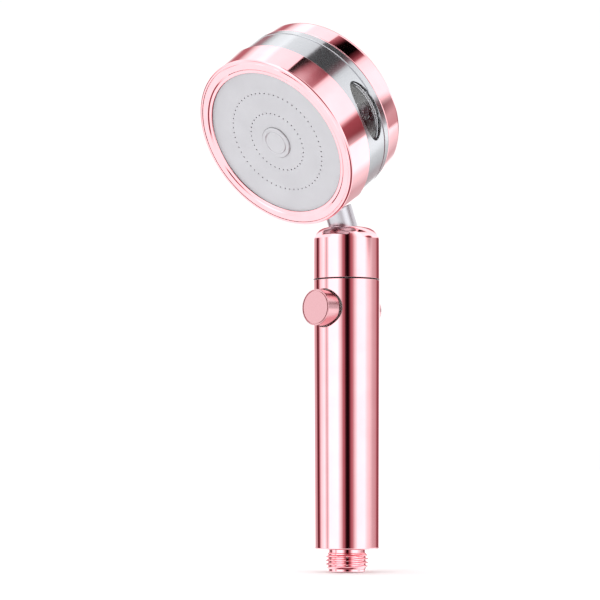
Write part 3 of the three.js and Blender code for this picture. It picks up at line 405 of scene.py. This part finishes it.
# Bright rose-gold plate on ABS: a mirror whose red is deep in the shade and washes out to white where
# it meets the lights. Slight moulding flow shows as a faint slow ripple and a breath of haze.
rose_plate, tree = start_material("plated_abs_bright_rose_gold")
where = add(tree, "ShaderNodeTexCoord")
flow_size = 9 * MM
haze_size = 2.5 * MM
flow = add(tree, "ShaderNodeTexNoise", {"Vector": where.outputs["Object"], "Scale": 1 / flow_size, "Detail": 2})
haze = add(tree, "ShaderNodeTexNoise", {"Vector": where.outputs["Object"], "Scale": 1 / haze_size, "Detail": 4})
plate_colour = add(tree, "ShaderNodeValToRGB", {"Fac": flow.outputs["Fac"]})
set_stops(plate_colour.color_ramp, [(0.3, linear("#f5b9bf")), (0.7, linear("#f8bec4"))])
plate_gloss = add(tree, "ShaderNodeMapRange", {"Value": haze.outputs["Fac"], "To Min": 0.04, "To Max": 0.075})
ripple = add(tree, "ShaderNodeBump", {"Height": flow.outputs["Fac"], "Strength": 0.03, "Distance": 0.05 * MM})
plated = add(tree, "ShaderNodeBsdfPrincipled", {
    "Base Color": plate_colour.outputs["Color"], "Roughness": plate_gloss.outputs["Result"],
    "Normal": ripple.outputs["Normal"], "Metallic": 1.0})
add(tree, "ShaderNodeOutputMaterial", {"Surface": plated.outputs[0]})
shell.data.materials.append(rose_plate)
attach(shell, "handle")
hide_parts("handle_shell")

# ---- Hose connector ----
# The G 1/2 male thread that takes the shower hose, moulded with its washer seat and plated with the
# handle. Its crests and roots are slightly flat, 1.814 mm apart.
thread_minor = 9.316
thread_major = 10.478
thread_pitch = 1.814
thread_start = 1.6
thread_turns = 4
thread_end = thread_start + thread_pitch * thread_turns
thread_steps = 14
washer_seat = 7.2
seat_deep = 9.5
thread_relief = 9
throat = 8.9
flange_radius = 11.2
flange_thick = 1.6
spigot_radius = 8.2
spigot_foot = 8.3
spigot_groove = 6.7
water_bore = 5.6
connector_low, connector_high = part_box("hose_connector")
connector_top = (connector_high.z - connector_low.z) / MM
shoulder_foot = (shell_low.z - connector_low.z) / MM
threaded = [(thread_minor, thread_start + thread_pitch * step / thread_steps)
            for step in range(thread_turns * thread_steps + 1)]
connector = mesh_object("hose_thread_skin", turn([
    (washer_seat, 0, 0.3), (thread_relief, 0, 0.4), (thread_relief, thread_start - 0.3), *threaded,
    (throat, thread_end + 0.3), (throat, shoulder_foot), (flange_radius, shoulder_foot, 0.15),
    (flange_radius, shoulder_foot + flange_thick), (throat, shoulder_foot + flange_thick),
    (throat, shoulder_foot + spigot_foot), (spigot_radius, shoulder_foot + spigot_foot),
    (spigot_radius, connector_top - 5.6), (spigot_groove, connector_top - 5.6),
    (spigot_groove, connector_top - 3.4), (spigot_radius, connector_top - 3.4),
    (spigot_radius, connector_top, 0.3), (water_bore, connector_top), (water_bore, seat_deep),
    (washer_seat, seat_deep),
], upright(connector_low.z), flats=120))
for corner in connector.data.vertices:
    radius = math.hypot(corner.co.x, corner.co.y) / MM
    height = (corner.co.z - connector_low.z) / MM
    if abs(radius - thread_minor) < 0.02 and thread_start <= height <= thread_end:
        turned_share = math.atan2(corner.co.y, corner.co.x) / (2 * math.pi)
        share_up = ((height - thread_start) / thread_pitch - turned_share) % 1
        flank = min(max((0.5 - abs(share_up - 0.5) - 0.09) / 0.32, 0), 1)
        flank = flank * flank * (3 - 2 * flank)
        run_out = min(1, (height - thread_start) / thread_pitch, (thread_end - height) / thread_pitch)
        grown = thread_minor + (thread_major - thread_minor) * flank * math.sqrt(max(run_out, 0))
        corner.co.x *= grown / radius
        corner.co.y *= grown / radius
polish(connector)
connector.data.materials.append(rose_plate)
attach(connector, "handle")
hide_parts("hose_connector")

# ---- Inside the handle ----
# What holds and seals the connector, the liner that keeps water off the plating, and the valve
# block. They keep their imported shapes, and each gets the finish of its own real material.
def grained(name, size, detail, tones, gloss, shader, relief=None, spread=(0.3, 0.7)):
    """A material whose tone, gloss and relief all follow one fine noise, its size in millimetres."""
    material, tree = start_material(name)
    where = add(tree, "ShaderNodeTexCoord")
    grain = add(tree, "ShaderNodeTexNoise", {
        "Vector": where.outputs["Object"], "Scale": 1 / (size * MM), "Detail": detail}).outputs["Fac"]
    colour = add(tree, "ShaderNodeValToRGB", {"Fac": grain})
    set_stops(colour.color_ramp, [(place, linear(code)) for place, code in zip(spread, tones)])
    shine = add(tree, "ShaderNodeMapRange", {"Value": grain, "To Min": gloss[0], "To Max": gloss[1]})
    surface = add(tree, "ShaderNodeBsdfPrincipled", {
        "Base Color": colour.outputs["Color"], "Roughness": shine.outputs["Result"], **shader})
    if relief:
        strength, depth = relief
        bump = add(tree, "ShaderNodeBump", {"Height": grain, "Strength": strength, "Distance": depth * MM})
        tree.links.new(bump.outputs["Normal"], surface.inputs["Normal"])
    add(tree, "ShaderNodeOutputMaterial", {"Surface": surface.outputs[0]})
    return material


# Turned brass: warm yellow with the rings that the lathe leaves, drawn 1.57 mm apart, which is
# coarser than the real ones.
turned_brass, tree = start_material("brass_turned")
where = add(tree, "ShaderNodeTexCoord")
tool_pitch = 1.5708 * MM
rings = add(tree, "ShaderNodeTexWave", {
    "Vector": where.outputs["Object"], "Scale": 2 * math.pi / (20 * tool_pitch), "Distortion": 0.6},
    wave_type="BANDS", bands_direction="Z")
tarnish = add(tree, "ShaderNodeTexNoise", {"Vector": where.outputs["Object"], "Scale": 1 / (4 * MM), "Detail": 4})
brass_colour = add(tree, "ShaderNodeValToRGB", {"Fac": tarnish.outputs["Fac"]})
set_stops(brass_colour.color_ramp, [(0.3, linear("#c2a052")), (0.75, linear("#d4b46a"))])
brass_gloss = add(tree, "ShaderNodeMapRange", {"Value": tarnish.outputs["Fac"], "To Min": 0.24, "To Max": 0.4})
brass_bump = add(tree, "ShaderNodeBump", {"Height": rings.outputs["Fac"], "Strength": 0.1, "Distance": 0.02 * MM})
brass = add(tree, "ShaderNodeBsdfPrincipled", {
    "Base Color": brass_colour.outputs["Color"], "Roughness": brass_gloss.outputs["Result"],
    "Normal": brass_bump.outputs["Normal"], "Metallic": 1.0})
add(tree, "ShaderNodeOutputMaterial", {"Surface": brass.outputs[0]})

# Natural acetal, moulded: a soft waxy white that lets a little light in.
white_acetal = grained("acetal_natural_moulded", 1.5, 3, ("#eeeeec", "#f4f4f2"), (0.38, 0.5),
                       {"IOR": 1.48}, relief=(0.1, 0.03))

# Dark grey acetal, moulded: nearly black with a dull slip shine. It also serves as painted shade on the collar's seam
# step.
dark_acetal_and_seam_shade = grained("acetal_dark_grey_moulded_and_seam_shade", 1.2, 3, ("#333338", "#3f3f45"), (0.3, 0.45),
                      {"IOR": 1.48}, relief=(0.1, 0.03))

# Nitrile rubber, moulded: matt black with a soft grey bloom.
nitrile = grained("nitrile_rubber_moulded", 0.8, 5, ("#1a1a1c", "#29292c"), (0.6, 0.8), {"IOR": 1.52},
                  spread=(0.35, 0.75))

# Bright drawn stainless: pale grey, its shine faintly clouded by the drawing.
bright_stainless = grained("stainless_bright_drawn", 0.6, 4, ("#b4b7bb", "#c8cbce"), (0.2, 0.32),
                           {"Metallic": 1.0})


def coat(material, *nodes):
    """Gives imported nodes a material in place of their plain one."""
    for name in nodes:
        frame["nodes"][name].data.materials.clear()
        frame["nodes"][name].data.materials.append(material)


coat(turned_brass, "connector_nut", "swivel_spigot")
coat(nitrile, "connector_o_ring", "swivel_o_ring")
coat(dark_acetal_and_seam_shade, "flow_regulator")
coat(bright_stainless, "inlet_screen", "swivel_snap_ring")
coat(white_acetal, "water_tube", "valve_block", "swivel_washer")

# ---- Stop valve ----
# A large plated button at the front pushes the spool back to stop the water, and a smaller one at
# the back pushes it forward again. Both snap onto the dark spool, which seals with three rings.
button_low, button_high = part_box("stop_button")
button_radius = button_high.x / MM
button_deep = (button_high.y - button_low.y) / MM
button_edge = 0.95
button_groove = 0.5
socket_radius = 2.9
socket_deep = 3.3
facing_front = Matrix.Translation((0, button_low.y, valve_height)) @ Matrix.Rotation(math.radians(90), 4, "X")
stop_button = mesh_object("stop_button_skin", turn([
    (0, 0), (button_radius - button_edge, 0, 0.08), (button_radius - button_edge + 0.06, -button_groove),
    (button_radius - button_edge + 0.44, -button_groove), (button_radius - button_edge + 0.5, 0, 0.06),
    (button_radius, 0, 0.25), (button_radius, -button_deep),
    (socket_radius, -button_deep), (socket_radius, -button_deep + socket_deep), (0, -button_deep + socket_deep),
], facing_front, flats=128))
polish(stop_button)
back_low, back_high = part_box("return_button")
back_radius = back_high.x / MM
back_deep = (back_high.y - back_low.y) / MM
facing_back = Matrix.Translation((0, back_high.y, valve_height)) @ Matrix.Rotation(math.radians(-90), 4, "X")
return_button = mesh_object("return_button_skin", turn([
    (0, 0), (back_radius, 0, 0.45), (back_radius, -back_deep), (socket_radius, -back_deep),
    (socket_radius, -back_deep + socket_deep), (0, -back_deep + socket_deep),
], facing_back, flats=112))
polish(return_button)
# Rose-gold plate under a satin lacquer: a deeper, duller pink with wide soft reflections.
rose_lacquer = grained("plated_abs_satin_rose_lacquer", 0.6, 4, ("#cc9da2", "#d2a4a9"), (0.2, 0.28),
                       {"Metallic": 1.0})
for piece, node in ((stop_button, "stop_button"), (return_button, "return_button")):
    piece.data.materials.append(rose_lacquer)
    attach(piece, "stop_valve")
    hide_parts(node)
coat(dark_acetal_and_seam_shade, "valve_spool")
coat(nitrile, "spool_o_ring_1", "spool_o_ring_2", "spool_o_ring_3")

# ---- Swivel collar ----
# The plated cap over the swivel, a little narrower than the handle, with a large round to its top.
# The neck leaves it through a leaning hole. The white socket inside runs on the brass spigot.
collar_low, collar_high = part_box("swivel_collar")
collar_height = (collar_high.z - collar_low.z) / MM
collar_radius = collar_high.x / MM
collar_wall = 2.2
collar_roof = 2.6
collar_round = 6
seam_above = 0.25
neck_foot = sum((Vector(corner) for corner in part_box("neck_foot_o_ring")), Vector()) / 2
neck_head = sum((Vector(corner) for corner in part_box("neck_nut")), Vector()) / 2
neck_line = (neck_head - neck_foot).normalized()
neck_place = Matrix.Translation(neck_foot) @ neck_line.to_track_quat("Z", "X").to_matrix().to_4x4()
neck_radius = 6.9
collar = mesh_object("swivel_collar_skin", turn([
    (0, collar_height - collar_roof), (collar_radius - collar_wall, collar_height - collar_roof, 2.6),
    (collar_radius - collar_wall, 0), (collar_radius - seam_deep, 0), (collar_radius - seam_deep, seam_above),
    (collar_radius, seam_above, 0.1), (collar_radius, collar_height, collar_round),
    (0, collar_height),
], upright(collar_low.z), flats=192))
carve(collar, [mesh_object("neck_cutter", turn([
    (0, 0), (neck_radius + 0.3, 0), (neck_radius + 0.3, 30), (0, 30)], neck_place, flats=96))])
polish(collar, round_place=upright(collar_low.z))
collar.data.materials.append(rose_plate)
# The step faces between collar and handle are given the dark acetal finish: painted shade in the seam between the
# parts.
seam_reach = 0.45
seam_skin = 0.11
seam_core = 13
for piece in (collar, shell):
    piece.data.materials.append(dark_acetal_and_seam_shade)
    for face in piece.data.polygons:
        out = math.hypot(face.center.x, face.center.y) / MM
        above_seam = (face.center.z - collar_low.z) / MM
        if -seam_reach < above_seam < seam_above + 0.01 and seam_core < out < collar_radius - seam_skin:
            face.material_index = 1
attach(collar, "head")
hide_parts("swivel_collar")
coat(white_acetal, "swivel_socket")

# ---- Neck pipe ----
# A short brass pipe, satin chromed, that leans forward out of the collar and carries the head. A
# shoulder pulls up against the turbine ring and a nut inside holds it; two rubber rings seal it.
along_pipe = [(corner.co - neck_foot).dot(neck_line) / MM for corner in frame["nodes"]["neck_pipe"].data.vertices]
pipe_low_along = min(along_pipe)
pipe_top_along = max(along_pipe)
shoulder_along = pipe_top_along - 11.3
pipe_bore = 3.8
tip_radius = 6.2
foot_groove_root = 5.4
tip_groove_root = 4.7
pipe = mesh_object("neck_pipe_skin", turn([
    (pipe_bore, pipe_low_along), (neck_radius, pipe_low_along, 0.3), (neck_radius, -1.1),
    (foot_groove_root, -1.1), (foot_groove_root, 1.1), (neck_radius, 1.1), (neck_radius, shoulder_along, 0.2),
    (tip_radius, shoulder_along), (tip_radius, shoulder_along + 1.8), (tip_groove_root, shoulder_along + 1.8),
    (tip_groove_root, shoulder_along + 4), (tip_radius, shoulder_along + 4), (tip_radius, pipe_top_along, 0.3),
    (pipe_bore, pipe_top_along),
], neck_place, flats=128))
polish(pipe, round_place=neck_place)
# Satin chrome on brass: cool grey, its reflections softened by a fine even blasting.
satin_chrome = grained("brass_pipe_satin_chromed", 0.5, 5, ("#bab9bf", "#c2c1c7"), (0.26, 0.34),
                       {"Metallic": 1.0}, relief=(0.05, 0.02))
pipe.data.materials.append(satin_chrome)
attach(pipe, "head")
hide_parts("neck_pipe")
coat(nitrile, "neck_foot_o_ring", "neck_tip_o_ring")
coat(bright_stainless, "neck_snap_ring")
coat(turned_brass, "neck_nut")

# ---- Front bezel ----
# The plated ring that screws over the turbine ring's front and clamps the spray plate. It swells
# slightly towards the back, and its face has a fine groove and a sunk lip. Glossy rays pass it and
# the plate, so that the tent's flags run on up over the collar.
back_face = next(mount for mount in frame["record"]["mounts"] if mount["name"] == "rear_face")
back_way = Vector(back_face["axis"])
back_middle = Vector(back_face["pos_m"])
face_front = min(corner.co.dot(back_way) for corner in frame["nodes"]["front_bezel"].data.vertices)
head_thick = (back_middle.dot(back_way) - face_front) / MM
face_middle = back_middle - back_way * head_thick * MM
face_up = back_way.cross(Vector((1, 0, 0))) * -1
if face_up.z < 0:
    face_up.negate()
head_place = Matrix.Translation(face_middle) @ Matrix((Vector((1, 0, 0)), face_up, -back_way)).transposed().to_4x4()
ring_front = 14
bezel_back = 45.05
bezel_front = 44.2
bezel_opening = 37.2
bezel_inside = 42
bezel_lip = 1.9
bezel_groove = 0.45
lip_sunk = 0.5
lip_deep = 1.2
lip_undercut = 0.8
bezel = mesh_object("front_bezel_skin", turn([
    (bezel_opening + lip_undercut, -bezel_lip), (bezel_inside, -bezel_lip), (bezel_inside, -ring_front),
    (bezel_back, -ring_front, 0.12), (bezel_front, 0, 1), (bezel_front - 1.5, 0, 0.06),
    (bezel_front - 1.6, -bezel_groove), (bezel_front - 1.9, -bezel_groove), (bezel_front - 2, 0, 0.06),
    (bezel_opening + 2.2, 0, 0.3), (bezel_opening + 1.7, -lip_sunk, 0.25), (bezel_opening, -lip_sunk, 0.4),
    (bezel_opening, -lip_deep, 0.1), (bezel_opening + lip_undercut, -lip_deep),
], head_place, flats=224))
polish(bezel)
bezel.data.materials.append(rose_plate)
bezel.visible_glossy = False
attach(bezel, "head")
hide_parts("front_bezel")


# ---- Spray plate ----
# A stainless sheet 0.8 mm thick with two rings of pierced water holes. A turned stud with a low
# domed head holds its middle. Behind it lie the silicone gasket and the white diffuser disc.
def circle_edges(shape, radius, flats, x=0.0, y=0.0, height=0.0):
    """A ring of edges in a bmesh, in millimetres."""
    ring = [shape.verts.new(((x + radius * math.cos(2 * math.pi * step / flats)) * MM,
                             (y + radius * math.sin(2 * math.pi * step / flats)) * MM, height * MM))
            for step in range(flats)]
    return [shape.edges.new((ring[step], ring[(step + 1) % flats])) for step in range(flats)]


plate_front = -2.2
plate_thick = 0.8
plate_radius = 41.7
stud_hole = 2.7
hole_radius = 0.37
shape = bmesh.new()
edges = circle_edges(shape, plate_radius, 160, height=plate_front) + circle_edges(
    shape, stud_hole, 32, height=plate_front)
for count, radius in ((60, 25.8), (38, 15.2)):
    for step in range(count):
        angle = 2 * math.pi * step / count
        edges += circle_edges(shape, hole_radius, 12, radius * math.cos(angle), radius * math.sin(angle), plate_front)
bmesh.ops.triangle_fill(shape, use_beauty=True, edges=edges)
sheet_back = bmesh.ops.extrude_face_region(shape, geom=shape.faces[:])
bmesh.ops.translate(shape, verts=[item for item in sheet_back["geom"] if isinstance(item, bmesh.types.BMVert)],
                    vec=(0, 0, -plate_thick * MM))
bmesh.ops.recalc_face_normals(shape, faces=shape.faces)
shape.transform(head_place)
plate = mesh_object("spray_plate_skin", shape)
polish(plate)
# Stainless sheet, satin ground: pale lilac grey, with a very fine even grit of about 0.3 mm.
satin_sheet, tree = start_material("stainless_sheet_satin_ground")
where = add(tree, "ShaderNodeTexCoord")
grit = add(tree, "ShaderNodeTexNoise", {"Vector": where.outputs["Object"], "Scale": 1 / (0.3 * MM), "Detail": 6})
cloud = add(tree, "ShaderNodeTexNoise", {"Vector": where.outputs["Object"], "Scale": 1 / (14 * MM), "Detail": 2})
sheet_colour = add(tree, "ShaderNodeValToRGB", {"Fac": cloud.outputs["Fac"]})
set_stops(sheet_colour.color_ramp, [(0.3, linear("#c2c3c7")), (0.7, linear("#c7c8cc"))])
sheet_gloss = add(tree, "ShaderNodeMapRange", {"Value": grit.outputs["Fac"], "To Min": 0.38, "To Max": 0.5})
sheet_bump = add(tree, "ShaderNodeBump", {"Height": grit.outputs["Fac"], "Strength": 0.06, "Distance": 0.02 * MM})
satin = add(tree, "ShaderNodeBsdfPrincipled", {
    "Base Color": sheet_colour.outputs["Color"], "Roughness": sheet_gloss.outputs["Result"],
    "Normal": sheet_bump.outputs["Normal"], "Metallic": 0.6})
add(tree, "ShaderNodeOutputMaterial", {"Surface": satin.outputs[0]})
boss_radius = 8
boss_rise = 0.9
boss_foot = plate_front + 0.3
boss_dimple = 0.3
stud_radius = 2.4
stud_flange = 3.8
flange_front = plate_front - plate_thick - 0.3
flange_back = plate_front - plate_thick - 1.4
boss = mesh_object("plate_stud_skin", turn([
    (0, flange_back), (stud_flange, flange_back), (stud_flange, flange_front), (stud_radius, flange_front),
    (stud_radius, boss_foot), (boss_radius, boss_foot), (boss_radius, boss_foot + boss_rise, 0.55),
    (boss_radius - 2, boss_foot + boss_rise, 0.2), (boss_radius - 2.3, boss_foot + boss_rise - boss_dimple, 0.1),
    (boss_radius - 2.6, boss_foot + boss_rise, 0.2), (0, boss_foot + boss_rise),
], head_place, flats=96))
polish(boss)
for piece, node in ((plate, "spray_plate"), (boss, "plate_boss")):
    piece.data.materials.append(satin_sheet)
    piece.visible_glossy = False
    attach(piece, "head")
    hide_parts(node)
# Silicone, moulded: a milky grey with hardly any shine.
silicone = grained("silicone_rubber_moulded", 1.5, 3, ("#b4b7bd", "#c0c3c8"), (0.55, 0.7), {"IOR": 1.43})
coat(silicone, "plate_gasket")
coat(white_acetal, "diffuser_disc")

# ---- Turbine ring ----
# The middle of the head, ABS with a satin silver plate, screwed between the bezel and the rear
# shell. An oval window is cut through each side, and a fine groove runs round near its back.
ring_rear = 31.6
ring_radius = 44.3
ring_bore = 38
skirt_out = 41.5
skirt_in = 39
skirt_front = -5
skirt_back = -36.9
bore_front = -8.1
bore_back = -34.2
groove_at = 27.6
groove_wide = 0.8
groove_deep = 0.7
seam_gap = 0.3
window_long = 31
window_wide = 12.4
window_ledge = 1.2
lens_skin = 43.0
lens_back = 41.0
axle_low, axle_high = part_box("turbine_axle")
axle_middle = (axle_low + axle_high) / 2
axle_local = head_place.inverted() @ axle_middle / MM
ring = mesh_object("turbine_ring_skin", turn([
    (ring_bore, bore_back), (skirt_in, bore_back), (skirt_in, skirt_back), (skirt_out, skirt_back),
    (skirt_out, -ring_rear), (ring_radius, -ring_rear, 0.25), (ring_radius, -groove_at - groove_wide, 0.12),
    (ring_radius - groove_deep, -groove_at - groove_wide / 2, 0.1), (ring_radius, -groove_at, 0.12),
    (ring_radius, -ring_front - seam_gap, 0.3), (skirt_out, -ring_front - seam_gap), (skirt_out, skirt_front),
    (skirt_in, skirt_front), (skirt_in, bore_front), (ring_bore, bore_front),
], head_place, flats=224))


def oval(inset, steps=64):
    """The outline of a window, as pairs of depthwise and upward places."""
    turns = [2 * math.pi * step / steps for step in range(steps)]
    return [((window_wide / 2 - inset) * math.cos(angle), (window_long / 2 - inset) * math.sin(angle))
            for angle in turns]


def window_prism(name, side, inset, inner, outer):
    """A solid with a window's outline that runs along the axle, for cutting the ring and the lens."""
    shape = bmesh.new()
    outline = oval(inset)
    ends = [[shape.verts.new((side * out * MM, (axle_local.y + up) * MM, (axle_local.z - across) * MM))
             for across, up in outline] for out in (inner, outer)]
    count = len(outline)
    shape.faces.new(ends[0])
    shape.faces.new(ends[1])
    for step in range(count):
        after = (step + 1) % count
        shape.faces.new((ends[0][step], ends[0][after], ends[1][after], ends[1][step]))
    bmesh.ops.recalc_face_normals(shape, faces=shape.faces)
    shape.transform(head_place)
    return mesh_object(name, shape)


def wall_cutter(name, side, inset, inner, outer):
    """The stretch of a cylinder wall under a window."""
    prism = window_prism(name, side, inset, 20, outer + 4)
    wall = mesh_object("wall", turn([
        (inner, -ring_rear - 2), (outer, -ring_rear - 2), (outer, -ring_front + 2), (inner, -ring_front + 2),
    ], head_place, flats=224))
    keep = prism.modifiers.new("keep", "BOOLEAN")
    keep.operation = "INTERSECT"
    keep.solver = "EXACT"
    keep.object = wall
    settle(prism)
    bpy.data.objects.remove(wall)
    return prism


carve(ring, [
    mesh_object("neck_cutter", turn([
        (0, shoulder_along - 8), (neck_radius + 0.15, shoulder_along - 8), (neck_radius + 0.15, shoulder_along),
        (tip_radius + 0.15, shoulder_along), (tip_radius + 0.15, shoulder_along + 8), (0, shoulder_along + 8),
    ], neck_place, flats=96)),
    wall_cutter("seat_left", -1, 0, lens_back - 0.3, ring_radius + 1),
    wall_cutter("seat_right", 1, 0, lens_back - 0.3, ring_radius + 1),
    window_prism("gap_left", -1, window_ledge, 30, ring_radius + 1),
    window_prism("gap_right", 1, window_ledge, 30, ring_radius + 1),
])
polish(ring, round_place=head_place)
# Satin silver plate on ABS: a cool grey whose reflections are soft-edged, darker along its shaded
# top. The plate is blasted with about 0.4 mm grit before it is lacquered.
silver_plate = grained("plated_abs_satin_silver", 0.4, 5, ("#aeb0b4", "#b7b9bd"), (0.11, 0.16),
                       {"Metallic": 0.9}, relief=(0.04, 0.02))
ring.data.materials.append(silver_plate)
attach(ring, "head")
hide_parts("turbine_ring")

# ---- Window lenses and axle bushes ----
# A pane of clear polycarbonate is bonded into each window, with a round boss behind it that holds
# the dark bush the axle turns in.
# Polished polycarbonate: clear, with a bright rim where its edge is seen through its thickness.
clear_pane, tree = start_material("polycarbonate_polished")
where = add(tree, "ShaderNodeTexCoord")
flow = add(tree, "ShaderNodeTexNoise", {"Vector": where.outputs["Object"], "Scale": 1 / (6 * MM), "Detail": 2})
pane_colour = add(tree, "ShaderNodeValToRGB", {"Fac": flow.outputs["Fac"]})
set_stops(pane_colour.color_ramp, [(0.3, linear("#fbfcfd")), (0.7, linear("#ffffff"))])
pane_gloss = add(tree, "ShaderNodeMapRange", {"Value": flow.outputs["Fac"], "To Min": 0.01, "To Max": 0.03})
pane = add(tree, "ShaderNodeBsdfPrincipled", {
    "Base Color": pane_colour.outputs["Color"], "Roughness": pane_gloss.outputs["Result"],
    "IOR": 1.58, "Transmission Weight": 1.0})
ray = add(tree, "ShaderNodeLightPath")
lit_through = add(tree, "ShaderNodeMath", {0: ray.outputs["Is Shadow Ray"], 1: ray.outputs["Is Diffuse Ray"]},
                  operation="MAXIMUM")
open_pane = add(tree, "ShaderNodeBsdfTransparent")
either = add(tree, "ShaderNodeMixShader", {0: lit_through.outputs[0], 1: pane.outputs[0], 2: open_pane.outputs[0]})
add(tree, "ShaderNodeOutputMaterial", {"Surface": either.outputs[0]})
bush_radius = 2.9
bush_out = 40.6
bush_length = 3.6
holder_wall = 1.1
holder_end = bush_out - bush_length + 0.4
axle_radius = 1.2
for side, word in ((-1, "left"), (1, "right")):
    lens = wall_cutter(f"window_pane_{word}", side, 0.3, lens_back, lens_skin)
    outward = head_place @ Matrix.Translation(axle_local * MM) @ Matrix.Rotation(math.radians(side * 90), 4, "Y")
    holder = mesh_object("holder", turn([
        (bush_radius + 0.1, holder_end), (bush_radius + holder_wall, holder_end, 0.2),
        (bush_radius + holder_wall, lens_skin - 0.8), (0, lens_skin - 0.8), (0, bush_out + 0.1),
        (bush_radius + 0.1, bush_out + 0.1),
    ], outward, flats=64))
    joined = lens.modifiers.new("holder", "BOOLEAN")
    joined.operation = "UNION"
    joined.solver = "EXACT"
    joined.object = holder
    settle(lens)
    bpy.data.objects.remove(holder)
    polish(lens, round_place=head_place)
    lens.data.materials.append(clear_pane)
    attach(lens, "head")
    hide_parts(f"window_lens_{word}")
    bush = mesh_object(f"axle_bush_{word}_skin", turn([
        (axle_radius + 0.12, bush_out - bush_length), (bush_radius, bush_out - bush_length, 0.25),
        (bush_radius, bush_out, 0.3), (axle_radius + 0.12, bush_out, 0.2),
    ], outward, flats=64))
    polish(bush)
    bush.data.materials.append(dark_acetal_and_seam_shade)
    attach(bush, "head")
    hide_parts(f"axle_bush_{word}")

# ---- Rear shell ----
# The plated cup that closes the head's back, with a softly rounded rim. The white divider inside
# it closes the turbine's chamber.
rear_front = 44.05
rear_edge = 43.3
rear_wall = 2.2
rear_mouth = -31.9
rear_shell = mesh_object("rear_shell_skin", turn([
    (0, -head_thick), (rear_edge, -head_thick, 3.2), (rear_front, rear_mouth, 0.5),
    (rear_front - rear_wall, rear_mouth), (rear_front - rear_wall, -head_thick + rear_wall, 2),
    (0, -head_thick + rear_wall),
], head_place, flats=224))
polish(rear_shell)
rear_shell.data.materials.append(rose_plate)
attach(rear_shell, "head")
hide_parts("rear_shell")
coat(white_acetal, "rear_divider")

# ---- Turbine ----
# Two moulded paddle wheels on a stainless axle. The water turns them, and they show through the
# windows.
wheel_radius = 9.4
wheel_hub = 3.8
wheel_wide = 6
wheel_blades = 8
blade_thick = 0.8
wheel_out = bush_out - bush_length - 0.6
for side, word in ((-1, "left"), (1, "right")):
    outward = head_place @ Matrix.Translation(axle_local * MM) @ Matrix.Rotation(math.radians(side * 90), 4, "Y")
    wheel = mesh_object(f"impeller_{word}_skin", turn([
        (axle_radius + 0.3, wheel_out - wheel_wide), (wheel_hub, wheel_out - wheel_wide, 0.3),
        (wheel_hub, wheel_out, 0.4), (axle_radius + 0.3, wheel_out),
    ], outward, flats=64))
    blades = bmesh.new()
    blades.from_mesh(wheel.data)
    for step in range(wheel_blades):
        made = bmesh.ops.create_cube(blades, size=1)["verts"]
        inner = wheel_hub - 0.3
        bmesh.ops.scale(blades, verts=made, vec=((wheel_radius - inner) * MM, blade_thick * MM, wheel_wide * MM))
        bmesh.ops.translate(blades, verts=made,
                            vec=((wheel_radius + inner) / 2 * MM, 0, (wheel_out - wheel_wide / 2) * MM))
        bmesh.ops.rotate(blades, verts=made, matrix=Matrix.Rotation(2 * math.pi * step / wheel_blades, 3, "Z"))
        bmesh.ops.transform(blades, verts=made, matrix=outward)
    blades.to_mesh(wheel.data)
    blades.free()
    rounded = wheel.modifiers.new("edges", "BEVEL")
    rounded.width = 0.12 * MM
    rounded.segments = 2
    polish(wheel)
    wheel.data.materials.append(dark_acetal_and_seam_shade)
    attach(wheel, "turbine")
    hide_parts(f"impeller_{word}")
coat(bright_stainless, "turbine_axle")
